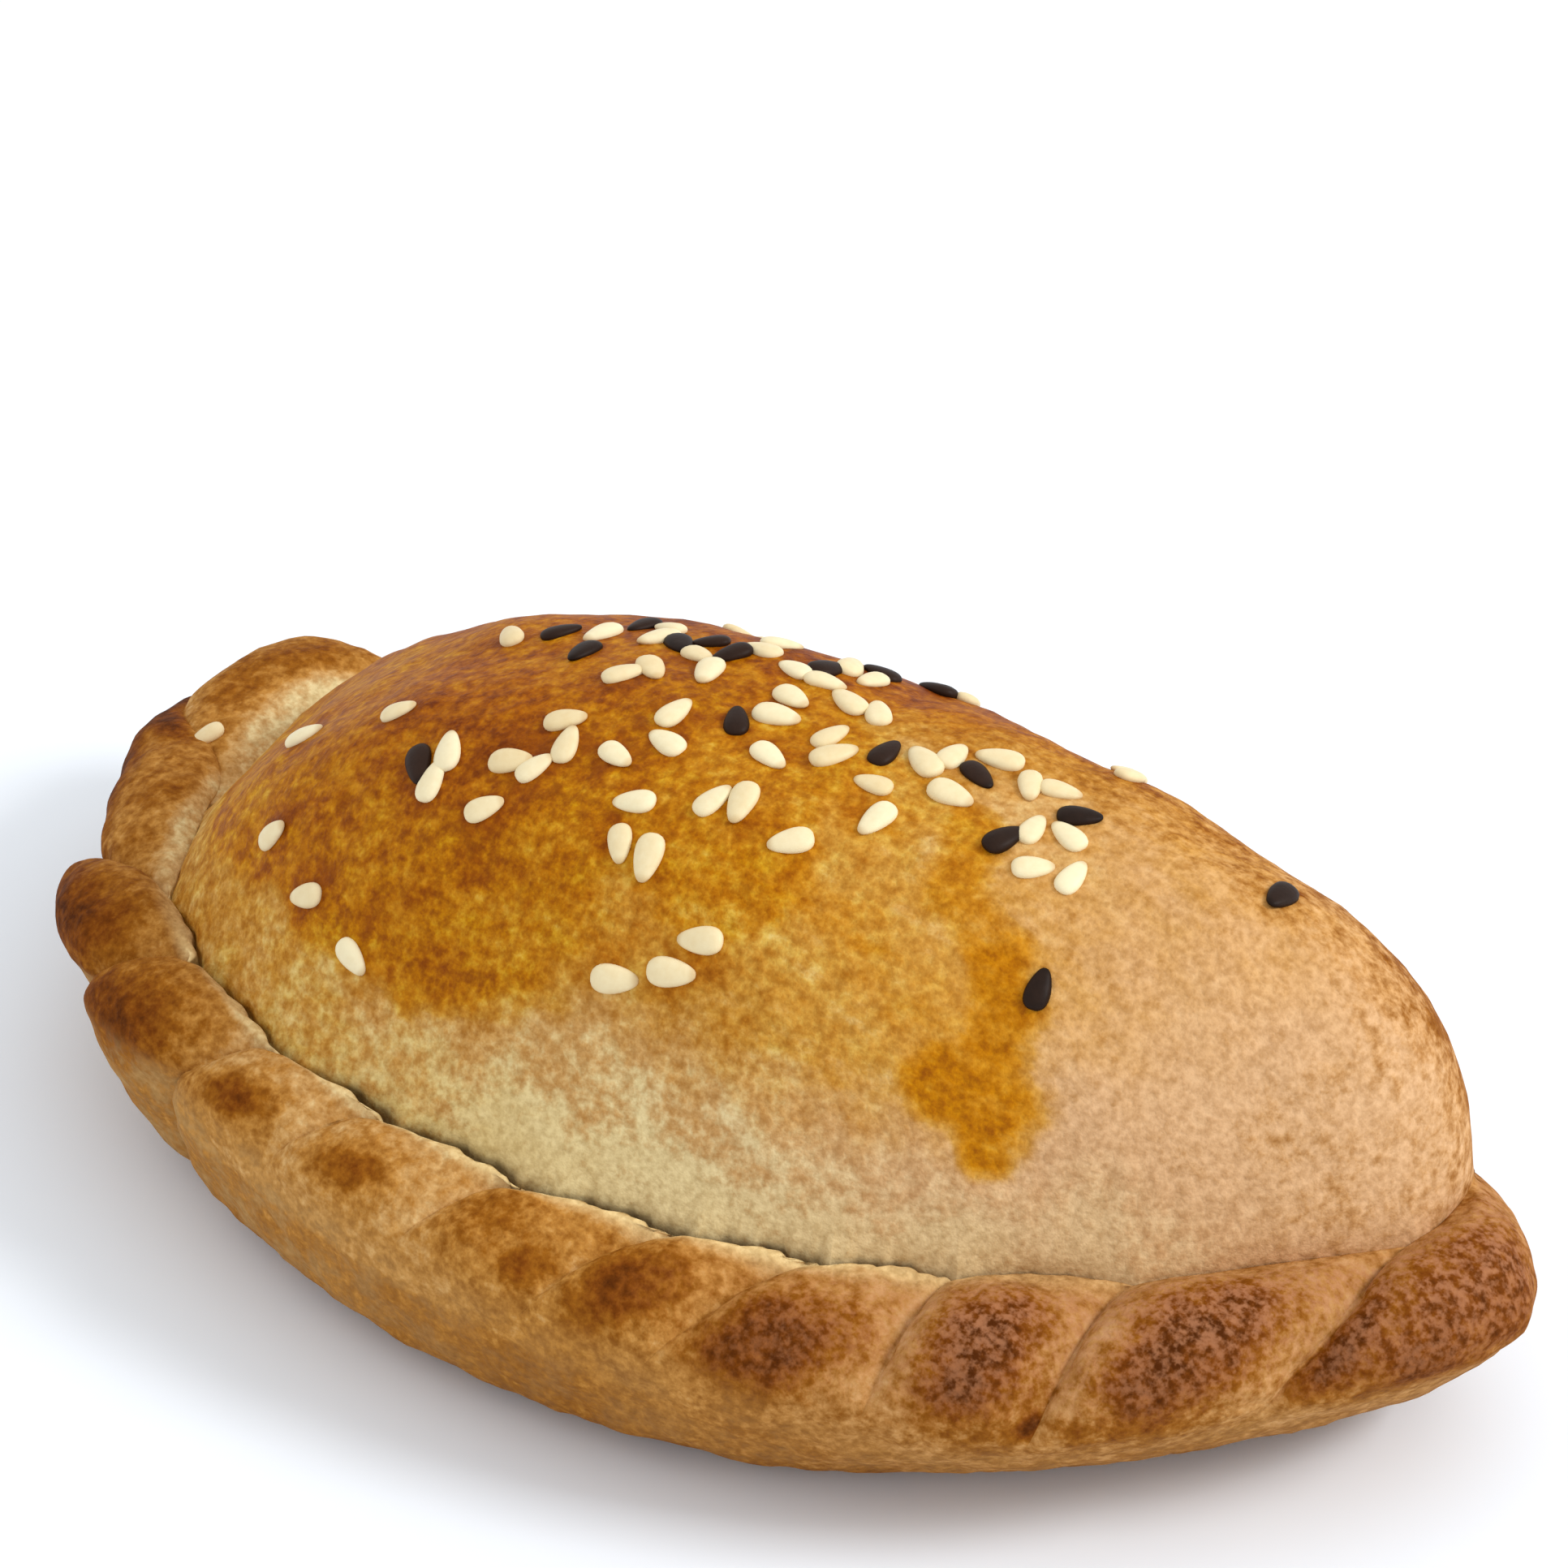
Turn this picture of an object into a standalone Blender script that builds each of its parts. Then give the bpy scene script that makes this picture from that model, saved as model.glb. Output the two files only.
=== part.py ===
"""A baked half-moon empanada: a domed turnover with a straight fold at the back, a twisted
rope edge round the front, and sesame seeds baked onto the top. One solid, in metres."""

import math
import random

import bmesh
import bpy
import numpy as np
from mathutils import Matrix, Vector
from mathutils.bvhtree import BVHTree

MM = 0.001                  # every size below is in millimetres

HEIGHT = 40.0               # table to the top of the dome
PEAK = np.array((-2.2, 7.8))  # where the top of the dome stands, in plan
TWIST_DEPTH = 0.40          # share of the rope's thickness that its twists swell and sink
FOLD_WALL = 4.5             # height of the plain wall at the fold, where there is no rope
FOLD_BULGE = 0.1            # how far that wall swells out

# The seam between dome and rope, station by station, anticlockwise from the right tip.
# x, y: place in plan.  seam: height.  width, depth: of the rope outside the seam.
# rope: 1 where the edge is twisted, 0 along the fold.  round, crown: exponents of the
# dome's profile, larger is boxier.  foot: share of the way out from the peak that rests
# on the table.  belly: how far the underside swells out between rope and table.
STATIONS = np.array((
    # x      y     seam  width depth rope round crown foot belly
    (49.7, 11.6, 16.4, 9.5, 8.4, 1.0, 3.8, 2.5, 0.74, 0.40),
    (47.6, 19.3, 16.0, 6.5, 8.0, 0.2, 3.4, 2.1, 0.82, 0.60),
    (35.3, 23.8, 16.0, 1.0, 5.0, 0.0, 2.9, 2.4, 0.86, 0.60),
    (13.8, 26.8, 16.0, 1.0, 5.0, 0.0, 2.5, 2.2, 0.88, 0.60),
    (-12.2, 26.8, 16.0, 1.0, 5.0, 0.0, 2.2, 1.9, 0.88, 0.60),
    (-32.8, 25.4, 15.0, 2.0, 6.0, 0.0, 1.9, 1.5, 0.86, 0.60),
    (-45.0, 17.6, 15.0, 12.6, 8.5, 1.0, 1.8, 1.4, 0.80, 0.60),
    (-44.4, 6.8, 15.0, 11.8, 8.0, 1.0, 1.9, 1.5, 0.80, 0.60),
    (-39.7, -6.0, 16.0, 10.2, 8.0, 1.0, 2.1, 1.7, 0.86, 0.68),
    (-27.2, -13.2, 16.5, 10.0, 9.0, 1.0, 2.3, 1.9, 0.99, 0.92),
    (-8.2, -16.2, 16.5, 11.5, 10.0, 1.0, 2.4, 2.0, 1.07, 1.02),
    (12.8, -14.2, 16.0, 12.5, 11.0, 1.0, 2.6, 2.1, 1.02, 0.90),
    (29.8, -7.7, 16.0, 12.3, 11.0, 1.0, 2.8, 2.2, 0.84, 0.60),
    (43.3, 1.8, 16.5, 9.8, 9.6, 1.0, 3.2, 2.4, 0.75, 0.44),
))

# The creases between the rope's twists, in stations along the seam. Each slants from
# its inner end, at the lip that lies against the dome, to its outer end. cut: how deep
# it is. swell: how proud the twist after it stands. reach: the angle on the underside
# where it dies out.
CREASES = np.array((
    # inner outer cut  swell reach
    (5.85, 5.35, 0.8, 1.20, -30),
    (7.35, 6.15, 0.5, 1.20, -40),
    (8.12, 7.58, 1.0, 1.25, -60),
    (8.66, 8.28, 0.9, 1.25, -70),
    (9.40, 8.96, 1.0, 0.85, -70),
    (9.85, 9.50, 0.8, 0.80, -10),
    (10.40, 10.04, 0.8, 0.80, 0),
    (10.90, 10.48, 0.8, 0.80, 0),
    (11.35, 10.88, 0.8, 0.80, 0),
    (11.80, 11.56, 0.9, 1.05, 0),
    (12.47, 12.13, 0.9, 1.10, -20),
    (13.78, 12.97, 1.0, 1.20, -40),
    (14.85, 14.45, 1.0, 0.00, -40),
))
LIP_ANGLE = 180.0           # angle round the rope of its inner lip, 0 being outwards
SLIM_END = -50.0            # the rope ends at this angle where the belly is slim
FULL_END = -12.0            # or at this one where the belly is full and carries it on
SLIM_BELLY, FULL_BELLY = 0.6, 0.9
CREASE_FADE = 60.0          # degrees over which a crease grows from nothing
TWIST_LEAN = 0.72           # below 1 the twist is steep after its crease and eases off

# The valley between dome and rope: position along the seam, distance outside it.
VALLEY = np.array((
    (6.0, 2.0), (7.0, 2.8), (8.2, 2.6), (8.6, 3.2), (9.4, 4.6), (10.4, 4.6), (10.9, 3.8),
    (11.4, 3.0), (12.0, 2.0), (13.0, 1.6),
)).T
SKIRT_HEIGHT = 5.5          # the dome's edge begins to spread this far above the valley
ROPE_LIFT = 0.8             # the rope's top is this much above the seam

# Soft lumps of the dome: place, radius and how far the crust is pushed out (or in).
LUMPS = (
    (Vector((41.8, 14.8, 28.0)), 9.0, 1.2),
    (Vector((27.8, 20.8, 33.0)), 8.0, -0.5),
    (Vector((7.8, -7.2, 30.0)), 16.0, 0.5),
    (Vector((-24.2, 10.8, 30.0)), 10.0, 0.4),
)
CORE = Vector((-2.2, 7.8, 14.0))  # lumps push away from this point

COLUMNS_PER_TWIST = 9
FOLD_COLUMNS = 14
DOME_ROWS = 10
ROPE_ROWS = 13
HULL_ROWS = 5

SEED_SIZE = (3.2, 1.8, 0.95)  # length, width and thickness of a sesame seed
SEED_SIDES = 5
SEED_RINGS = 4
SEED_TAPER = 0.3            # the pointed end is this much slimmer, the other as much fuller
SEED_VARIETY = 0.12         # seeds differ in size by up to this share
SEED_LIFT = 0.12            # height of a seed's middle above the crust
SEED_SPACING = 1.9          # least distance between the middles of two seeds
PINCH_SPREAD = 0.9          # a pinch of one seed lies within this radius, larger ones wider
RANDOM_SEED = 7

# Sesame as it was sprinkled, a pinch at a time: x, y, pale seeds, black seeds.
PINCHES = (
    (-52, 8.5, 1, 0), (-34.5, -0.5, 1, 0), (-26.5, -1.5, 1, 0), (-30.5, -9.5, 1, 0),
    (-25, -12, 1, 0), (-20, -15, 1, 0), (-19.5, -5, 2, 1), (-13, -4.5, 2, 0),
    (-14.5, -8, 1, 0), (-11.5, -1, 2, 0), (-6.5, -2.5, 1, 0), (-6, 2.5, 2, 0),
    (-2, 4.5, 0, 1), (0, 7, 2, 0), (1.5, 3, 1, 0), (4.5, 6, 2, 0), (4.5, 11, 2, 0),
    (8.5, 7.5, 0, 1), (12.5, 8.5, 2, 0), (10.5, 4, 1, 0), (15, 6, 1, 0), (11.5, 1, 1, 0),
    (15.5, 10.5, 1, 1), (19.5, 10.5, 2, 0), (2.5, -2.5, 2, 0), (-3.5, -4.5, 1, 0),
    (7.5, -3, 1, 0), (-1.5, -8, 2, 0), (5, -11, 2, 0), (1.5, -12.5, 1, 0),
    (22, 7, 2, 0), (23.3, 4, 2, 0), (20.8, 4.5, 0, 1), (22.2, 9.5, 0, 1), (27, -2, 0, 1),
    (37, 13, 0, 1), (-24, 10, 1, 0), (-18, 11, 1, 0), (-11.5, 6.5, 2, 0), (-6, 8.5, 1, 0),
    (-12.5, 12, 1, 0), (-5.5, 15, 2, 0), (-16, 7.5, 0, 1), (-20.5, 10.5, 0, 1),
    (-9.5, 13, 0, 1), (-6.5, 12, 0, 1), (-1, 12, 2, 1), (-9.5, 9.5, 1, 1), (1, 15.5, 2, 1),
    (-15, 14.5, 1, 1), (6, 21, 2, 1), (-12, 21, 2, 1), (21, 18, 2, 0),
)


def ease(low, high, value):
    """0 below low, 1 above high, and a smooth step between them."""
    share = np.clip((value - low) / (high - low), 0, 1)
    return share * share * (3 - 2 * share)


def along(position):
    """Station values at any position round the seam: a closed Catmull-Rom spline."""
    count = len(STATIONS)
    step = np.floor(position).astype(int)
    u = (position - step)[..., None]
    before, here, after, beyond = (STATIONS[(step + k) % count] for k in (-1, 0, 1, 2))
    line = 2 * here + (after - before) * u
    bend = (2 * before - 5 * here + 4 * after - beyond) * u ** 2
    twist = (3 * here - before - 3 * after + beyond) * u ** 3
    return (line + bend + twist) / 2


def rope_columns():
    """Columns of the surface, set so that every crease of the rope is one of them.
    Gives each column's inner and outer position on the seam, its share of the way
    across its twist, its crease's cut, and its twist's swell and reach."""
    rows = []
    for start, end in zip(CREASES[:-1], CREASES[1:]):
        for k in range(COLUMNS_PER_TWIST):
            across = (1 - math.cos(math.pi * k / COLUMNS_PER_TWIST)) / 2
            inner, outer, cut, _, reach = start + (end - start) * across
            rows.append((inner, outer, across, cut, start[3], reach))
    last, first = CREASES[-1], CREASES[0]
    for k in range(FOLD_COLUMNS):
        share = k / FOLD_COLUMNS
        inner, outer = last[:2] + (first[:2] + len(STATIONS) - last[:2]) * share
        rows.append((inner, outer, 0, 0, 0, last[4]))
    return np.array(rows).T[:, :, None]


def rope_end(outer):
    """The angle at which each column leaves the rope for the underside."""
    fullness = (along(outer)[..., -1] - SLIM_BELLY) / (FULL_BELLY - SLIM_BELLY)
    return SLIM_END + (FULL_END - SLIM_END) * np.clip(fullness, 0, 1)


def valley_out(inner):
    """How far outside the seam the valley behind the rope lies, in each column."""
    return np.interp(inner, VALLEY[0], VALLEY[1], period=len(STATIONS))


def seam_at(inner, outer, angle):
    """Place, outward direction and station values where the columns cross an angle."""
    position = outer + (inner - outer) * np.clip(angle / LIP_ANGLE, -0.25, 1)
    values = along(position)
    ahead = along(position + 0.001)[..., :2] - along(position - 0.001)[..., :2]
    ahead /= np.linalg.norm(ahead, axis=-1, keepdims=True)
    outward = np.stack((ahead[..., 1], -ahead[..., 0]), axis=-1)
    return values[..., :2], outward, [values[..., k] for k in range(2, 10)]


def placed(share, out, height, place, outward):
    """Points that far from the peak to the seam, moved out past it, at that height."""
    plan = PEAK + share[..., None] * (place - PEAK) + out[..., None] * outward
    return np.concatenate((plan, height[..., None]), axis=-1)


def dome_rows(inner, outer):
    """From near the peak down to the valley: a superellipse profile whose edge spreads.
    The rows crowd towards the valley."""
    place, outward, values = seam_at(inner, outer, np.full((1, DOME_ROWS), LIP_ANGLE))
    seam, _, _, rope, roundness, crown, _, _ = values
    step = 1 - (1 - np.arange(1, DOME_ROWS + 1) / DOME_ROWS) ** 1.5
    bend = math.pi / 2 * step ** (roundness / 2)
    share = np.sin(bend) ** (2 / roundness)
    rise = (HEIGHT - seam) * np.abs(np.cos(bend)) ** (2 / crown)
    skirt = valley_out(inner) * np.exp(-rise / SKIRT_HEIGHT)
    return placed(share, np.clip(rope, 0, 1) * skirt, seam + rise, place, outward)


def rope_rows(inner, outer, across, cut, swell, reach):
    """Round the rope, or straight down the plain wall where it has died out."""
    angle = LIP_ANGLE + (rope_end(outer) - LIP_ANGLE) * np.linspace(0, 1, ROPE_ROWS + 1)[1:]
    place, outward, values = seam_at(inner, outer, angle)
    seam, width, depth, rope, _, _, _, _ = values
    rope = np.clip(rope, 0, 1)
    arch = np.clip(1 - np.abs(2 * across ** TWIST_LEAN - 1) ** 2.2, 0, 1) ** 0.8
    ridge = swell * (1 - cut * (1 - arch))
    size = 1 + TWIST_DEPTH * (ridge - 0.72) * rope * ease(reach, reach + CREASE_FADE, angle)
    turn = np.radians(np.minimum(angle, 90))
    out = width / 2 * (1 + size * np.cos(turn))
    height = ROPE_LIFT - depth / 2 + depth / 2 * size * np.sin(turn)
    inwards = math.pi / 2 * np.clip((angle - 90) / (LIP_ANGLE - 90), 0, 1)
    out += (valley_out(inner) - width / 2) * np.sin(inwards)
    height *= np.cos(inwards)
    down = np.linspace(0, 1, ROPE_ROWS + 1)[1:]
    wall_out = FOLD_BULGE * np.sin(math.pi * down) ** 2
    out = rope * out + (1 - rope) * wall_out
    height = rope * height - (1 - rope) * FOLD_WALL * down
    return placed(np.ones_like(out), out, seam + height, place, outward)


def hull_rows(inner, outer, rope_edge):
    """The underside, a curve from the rope's last row in to the edge of the flat base."""
    angle = rope_end(outer) * np.ones((1, HULL_ROWS))
    place, outward, values = seam_at(inner, outer, angle)
    foot, belly = values[6], values[7]
    edge_out = ((rope_edge[:, None, :2] - place) * outward).sum(axis=-1)
    edge_height = rope_edge[:, None, 2]
    u = np.arange(1, HULL_ROWS + 1)[None] / HULL_ROWS
    out = (1 - u) ** 2 * edge_out + 2 * u * (1 - u) * edge_out * belly
    share = (1 - u) ** 2 + 2 * u * (1 - u) + u ** 2 * foot
    return placed(share, out, (1 - u) ** 2 * edge_height, place, outward)


def lumped(points):
    """The points with the dome's lumps pushed out, less and less towards the table."""
    moved = points.copy()
    held = ease(0.0, 6.0, points[..., 2])
    for centre, radius, push in LUMPS:
        away = np.array((centre - CORE).normalized())
        distance = np.linalg.norm(points - np.array(centre), axis=-1)
        moved += (push * held * np.exp(-(distance / radius) ** 2))[..., None] * away
    return moved


def new_material(name, color, roughness):
    material = bpy.data.materials.new(name)
    material.use_nodes = True
    shader = material.node_tree.nodes["Principled BSDF"]
    shader.inputs["Base Color"].default_value = (*color, 1.0)
    shader.inputs["Roughness"].default_value = roughness
    shader.inputs["Metallic"].default_value = 0.0
    return material


def make_crust():
    """The whole bare turnover: rings of quads, a fan at the peak and one flat base."""
    inner, outer, across, cut, swell, reach = rope_columns()
    dome = dome_rows(inner, outer)
    rope = rope_rows(inner, outer, across, cut, swell, reach)
    hull = hull_rows(inner, outer, rope[:, -1])
    grid = lumped(np.concatenate((dome, rope, hull), axis=1))
    columns, rows = grid.shape[:2]
    shape = bmesh.new()
    verts = [[shape.verts.new(point * MM) for point in column] for column in grid]
    peak = shape.verts.new((PEAK[0] * MM, PEAK[1] * MM, HEIGHT * MM))
    for i in range(columns):
        this, following = verts[i], verts[(i + 1) % columns]
        shape.faces.new((peak, this[0], following[0]))
        for j in range(rows - 1):
            shape.faces.new((this[j], this[j + 1], following[j + 1], following[j]))
    shape.faces.new([verts[i][-1] for i in reversed(range(columns))])
    mesh = bpy.data.meshes.new("empanada")
    shape.to_mesh(mesh)
    shape.free()
    crust = bpy.data.objects.new("empanada", mesh)
    bpy.context.scene.collection.objects.link(crust)
    mesh.materials.append(new_material("baked crust", (0.50, 0.25, 0.08), 0.5))
    return crust


def seed_spots():
    """Plan places of the seeds, drawn pinch by pinch and kept a seed's width apart."""
    draw = random.Random(RANDOM_SEED)
    spots = []
    for x, y, pale, black in PINCHES:
        spread = PINCH_SPREAD * math.sqrt(pale + black)
        for _ in range(pale + black):
            for attempt in range(60):
                turn = draw.uniform(0, math.tau)
                far = spread * math.sqrt(draw.random()) * (1 + attempt / 20)
                spot = (x + far * math.cos(turn), y + far * math.sin(turn))
                if all(math.dist(spot, other[:2]) > SEED_SPACING for other in spots):
                    break
            heading = draw.uniform(0, math.tau)
            size = 1 + SEED_VARIETY * draw.uniform(-1, 1)
            spots.append((*spot, heading, size))
    return sorted(spots, key=lambda spot: -spot[3])


def seed_mesh():
    """A flattened teardrop, as long as a mean seed, with its length along X."""
    shape = bmesh.new()
    bmesh.ops.create_uvsphere(shape, u_segments=SEED_SIDES, v_segments=SEED_RINGS, radius=0.5)
    length, width, thickness = SEED_SIZE
    for vert in shape.verts:
        side, lift, ahead = vert.co
        slim = 1 - SEED_TAPER * 2 * ahead
        vert.co = Vector((ahead * length, side * width * slim, lift * thickness * slim)) * MM
    bmesh.ops.recalc_face_normals(shape, faces=shape.faces)
    mesh = bpy.data.meshes.new("seed")
    shape.to_mesh(mesh)
    shape.free()
    return mesh


def lay_seeds(crust):
    """Seeds dropped straight down onto the crust, each lying flat where it lands."""
    surface = BVHTree.FromObject(crust, bpy.context.evaluated_depsgraph_get())
    seeds = bpy.data.collections.new("seeds")
    bpy.context.scene.collection.children.link(seeds)
    mesh = seed_mesh()
    for x, y, heading, size in seed_spots():
        above = Vector((x * MM, y * MM, 2 * HEIGHT * MM))
        landing, normal, _, _ = surface.ray_cast(above, Vector((0, 0, -1)))
        ahead = Vector((math.cos(heading), math.sin(heading), 0))
        ahead = (ahead - normal * ahead.dot(normal)).normalized()
        turned = Matrix((ahead, normal.cross(ahead), normal)).transposed().to_4x4()
        middle = Matrix.Translation(landing + normal * SEED_LIFT * MM)
        seed = bpy.data.objects.new("seed", mesh)
        seed.matrix_world = middle @ turned @ Matrix.Scale(size, 4)
        seeds.objects.link(seed)
    return seeds


def fuse(body, pieces):
    """One union of the body with a collection of pieces, applied, the pieces removed."""
    union = body.modifiers.new("seeds", "BOOLEAN")
    union.operation = "UNION"
    union.operand_type = "COLLECTION"
    union.collection = pieces
    union.solver = "EXACT"
    union.use_self = True
    bpy.context.view_layer.update()
    graph = bpy.context.evaluated_depsgraph_get()
    fused = bpy.data.meshes.new_from_object(body.evaluated_get(graph))
    body.modifiers.remove(union)
    body.data = fused
    for piece in list(pieces.objects):
        bpy.data.objects.remove(piece)
    bpy.data.collections.remove(pieces)


for old in list(bpy.data.objects):
    bpy.data.objects.remove(old)

empanada = make_crust()
fuse(empanada, lay_seeds(empanada))
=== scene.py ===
# %% [markdown]
# # A baked empanada with a rope edge and sesame
# A half-moon turnover is a disc of dough folded over a filling. The fold is the straight
# back edge, and the two cut edges are pressed together and turned over on themselves,
# again and again, into a rope. Brushed with egg and strewn with sesame, it bakes golden
# on the dome and brown where the rope's twists stand proud.
#
# The solid model gives the size and the main form. This script lays the fine skin over
# it: one closed surface for the crust, the seeds as pieces of their own, and the colours
# of baking as masks on the crust that its material reads.

# %% Load the solid model
import math
import random

import bpy
import numpy as np
from mathutils import Euler, Matrix, Vector
from mathutils.bvhtree import BVHTree


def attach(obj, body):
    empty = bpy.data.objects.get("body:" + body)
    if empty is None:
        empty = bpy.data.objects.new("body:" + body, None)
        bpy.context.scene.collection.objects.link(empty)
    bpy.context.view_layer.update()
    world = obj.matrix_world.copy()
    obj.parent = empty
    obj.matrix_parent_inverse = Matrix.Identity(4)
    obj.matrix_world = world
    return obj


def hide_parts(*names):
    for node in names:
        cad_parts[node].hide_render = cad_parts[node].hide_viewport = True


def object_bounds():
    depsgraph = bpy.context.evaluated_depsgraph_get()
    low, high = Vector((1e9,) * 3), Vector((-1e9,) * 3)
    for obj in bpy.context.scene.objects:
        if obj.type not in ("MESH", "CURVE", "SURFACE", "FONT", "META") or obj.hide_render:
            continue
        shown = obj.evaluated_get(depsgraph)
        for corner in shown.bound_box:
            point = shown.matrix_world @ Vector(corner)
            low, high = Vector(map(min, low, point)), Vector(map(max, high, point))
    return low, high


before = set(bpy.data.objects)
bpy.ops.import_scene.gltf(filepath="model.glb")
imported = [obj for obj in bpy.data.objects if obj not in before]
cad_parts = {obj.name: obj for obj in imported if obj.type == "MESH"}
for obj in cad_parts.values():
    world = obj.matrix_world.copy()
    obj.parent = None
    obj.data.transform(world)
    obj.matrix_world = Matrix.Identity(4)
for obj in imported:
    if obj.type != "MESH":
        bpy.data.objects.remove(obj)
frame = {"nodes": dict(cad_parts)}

MM = 0.001                  # sizes below are in millimetres, the scene is in metres
SOLID_BOX = [list(corner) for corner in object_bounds()]
print("solid box, mm:", np.round(np.array(SOLID_BOX) / MM, 1).tolist())
print("solid nodes:", ", ".join(frame["nodes"]))

# %% [markdown]
# ## The seam and the rope
# Everything on this pastry follows its seam, the line where the dome ends and the rope
# begins. One could model the rope as a separate coil and push it against the dome, but
# the real rope is the same dough, so the whole crust is one sheet: the dome's profile,
# the way round the rope and the underside are three stretches of one section, and that
# section is carried round the seam. The stations below say how it changes on the way.
# The solid was made from the same numbers.

# %% Driving sizes
HEIGHT = 40.0               # table to the top of the dome
PEAK = np.array((-2.2, 7.8))  # where the top of the dome stands, in plan

# x, y: place of the seam in plan.  seam: its height.  width, depth: of the rope.
# rope: 1 where the edge is twisted, 0 along the fold.  round, crown: exponents of the
# dome's profile, larger is boxier.  foot: share of the way out that rests on the table.
# belly: how far the underside swells out between rope and table.
STATIONS = np.array((
    # x      y     seam  width depth rope round crown foot belly
    (49.7, 11.6, 16.4, 9.5, 8.4, 1.0, 3.8, 2.5, 0.74, 0.40),
    (47.6, 19.3, 16.0, 6.5, 8.0, 0.2, 3.4, 2.1, 0.82, 0.60),
    (35.3, 23.8, 16.0, 1.0, 5.0, 0.0, 2.9, 2.4, 0.86, 0.60),
    (13.8, 26.8, 16.0, 1.0, 5.0, 0.0, 2.5, 2.2, 0.88, 0.60),
    (-12.2, 26.8, 16.0, 1.0, 5.0, 0.0, 2.2, 1.9, 0.88, 0.60),
    (-32.8, 25.4, 15.0, 2.0, 6.0, 0.0, 1.9, 1.5, 0.86, 0.60),
    (-45.0, 17.6, 15.0, 12.6, 8.5, 1.0, 1.8, 1.4, 0.80, 0.60),
    (-44.4, 6.8, 15.0, 11.8, 8.0, 1.0, 1.9, 1.5, 0.80, 0.60),
    (-39.7, -6.0, 16.0, 10.2, 8.0, 1.0, 2.1, 1.7, 0.86, 0.68),
    (-27.2, -13.2, 16.5, 10.0, 9.0, 1.0, 2.3, 1.9, 0.99, 0.92),
    (-8.2, -16.2, 16.5, 11.5, 10.0, 1.0, 2.4, 2.0, 1.07, 1.02),
    (12.8, -14.2, 16.0, 12.5, 11.0, 1.0, 2.6, 2.1, 1.02, 0.90),
    (29.8, -7.7, 16.0, 12.3, 11.0, 1.0, 2.8, 2.2, 0.84, 0.60),
    (43.3, 1.8, 16.5, 9.8, 9.6, 1.0, 3.2, 2.4, 0.75, 0.44),
))
ROUND_TRIP = len(STATIONS)  # the seam closes after this many stations
print("stations round the seam:", ROUND_TRIP)

# %% [markdown]
# ## The rope's twists
# A baker folds the edge over itself again and again, and each fold leaves a slanting crease
# between two swollen twists. A helix would make them all alike. No two on a real rope are,
# so each crease has a place, a slant and a depth of its own.

# %% The creases of the rope
# Each crease slants over the rope from its inner end, at the lip that lies against the
# dome, to its outer end, both in stations along the seam. cut: how deep the crease is.
# swell: how proud the twist after it stands. reach: the angle on the underside where the
# crease dies out.
CREASES = np.array((
    # inner outer cut  swell reach
    (5.85, 5.35, 0.8, 1.20, -30),
    (7.35, 6.15, 0.5, 1.20, -40),
    (8.12, 7.58, 1.0, 1.25, -60),
    (8.66, 8.28, 0.9, 1.25, -70),
    (9.40, 8.96, 1.0, 0.85, -70),
    (9.85, 9.50, 0.8, 0.80, -10),
    (10.40, 10.04, 0.8, 0.80, 0),
    (10.90, 10.48, 0.8, 0.80, 0),
    (11.35, 10.88, 0.8, 0.80, 0),
    (11.80, 11.56, 0.9, 1.05, 0),
    (12.47, 12.13, 0.9, 1.10, -20),
    (13.78, 12.97, 1.0, 1.20, -40),
    (14.85, 14.45, 1.0, 0.00, -40),
))
LIP_ANGLE = 180.0           # angle round the rope of its inner lip, 0 being outwards
TWIST_DEPTH = 0.40          # share of the rope's thickness that its twists swell and sink
TWIST_LEAN = 0.72           # below 1 the twist is steep after its crease and eases off
CREASE_FADE = 60.0          # degrees over which a crease grows from nothing
SLIM_END, FULL_END = -50.0, -12.0      # where it ends: over a slim belly, over a full one
SLIM_BELLY, FULL_BELLY = 0.6, 0.9
FOLD_WALL, FOLD_BULGE = 4.5, 0.1       # the plain wall at the fold, height and swell

# The surface's grid: columns round the seam, and rows in each stretch of the section.
COLUMNS_PER_TWIST = 40
FOLD_COLUMNS = 72
DOME_ROWS, ROPE_ROWS, HULL_ROWS, BASE_ROWS = 72, 62, 26, 5
print("twists in the rope:", len(CREASES) - 1)

# %% [markdown]
# ## Walking along the seam
# The stations stand far apart, so something has to give smooth values between them.
# Straight steps would leave corners, and a Bezier curve needs handles. A Catmull-Rom
# spline passes through every station and needs nothing but its neighbours.

# %% Walking along the seam
def ease(low, high, value):
    """0 below low, 1 above high, and between them the smooth step 3u^2 - 2u^3."""
    u = np.clip((value - low) / (high - low), 0, 1)
    return u * u * (3 - 2 * u)


def between(start, full, fading, end, value):
    """0 before start, 1 from full to fading and 0 again after end, smooth between."""
    return ease(start, full, value) * ease(end, fading, value)


def along(position):
    """Station values at any position round the seam: a closed Catmull-Rom spline, so
    each stretch is a cubic that leaves a station parallel to its two neighbours."""
    step = np.floor(position).astype(int)
    u = (position - step)[..., None]
    before, here, after, beyond = (STATIONS[(step + k) % ROUND_TRIP] for k in (-1, 0, 1, 2))
    line = 2 * here + (after - before) * u
    bend = (2 * before - 5 * here + 4 * after - beyond) * u ** 2
    turn = (3 * here - before - 3 * after + beyond) * u ** 3
    return (line + bend + turn) / 2


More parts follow.
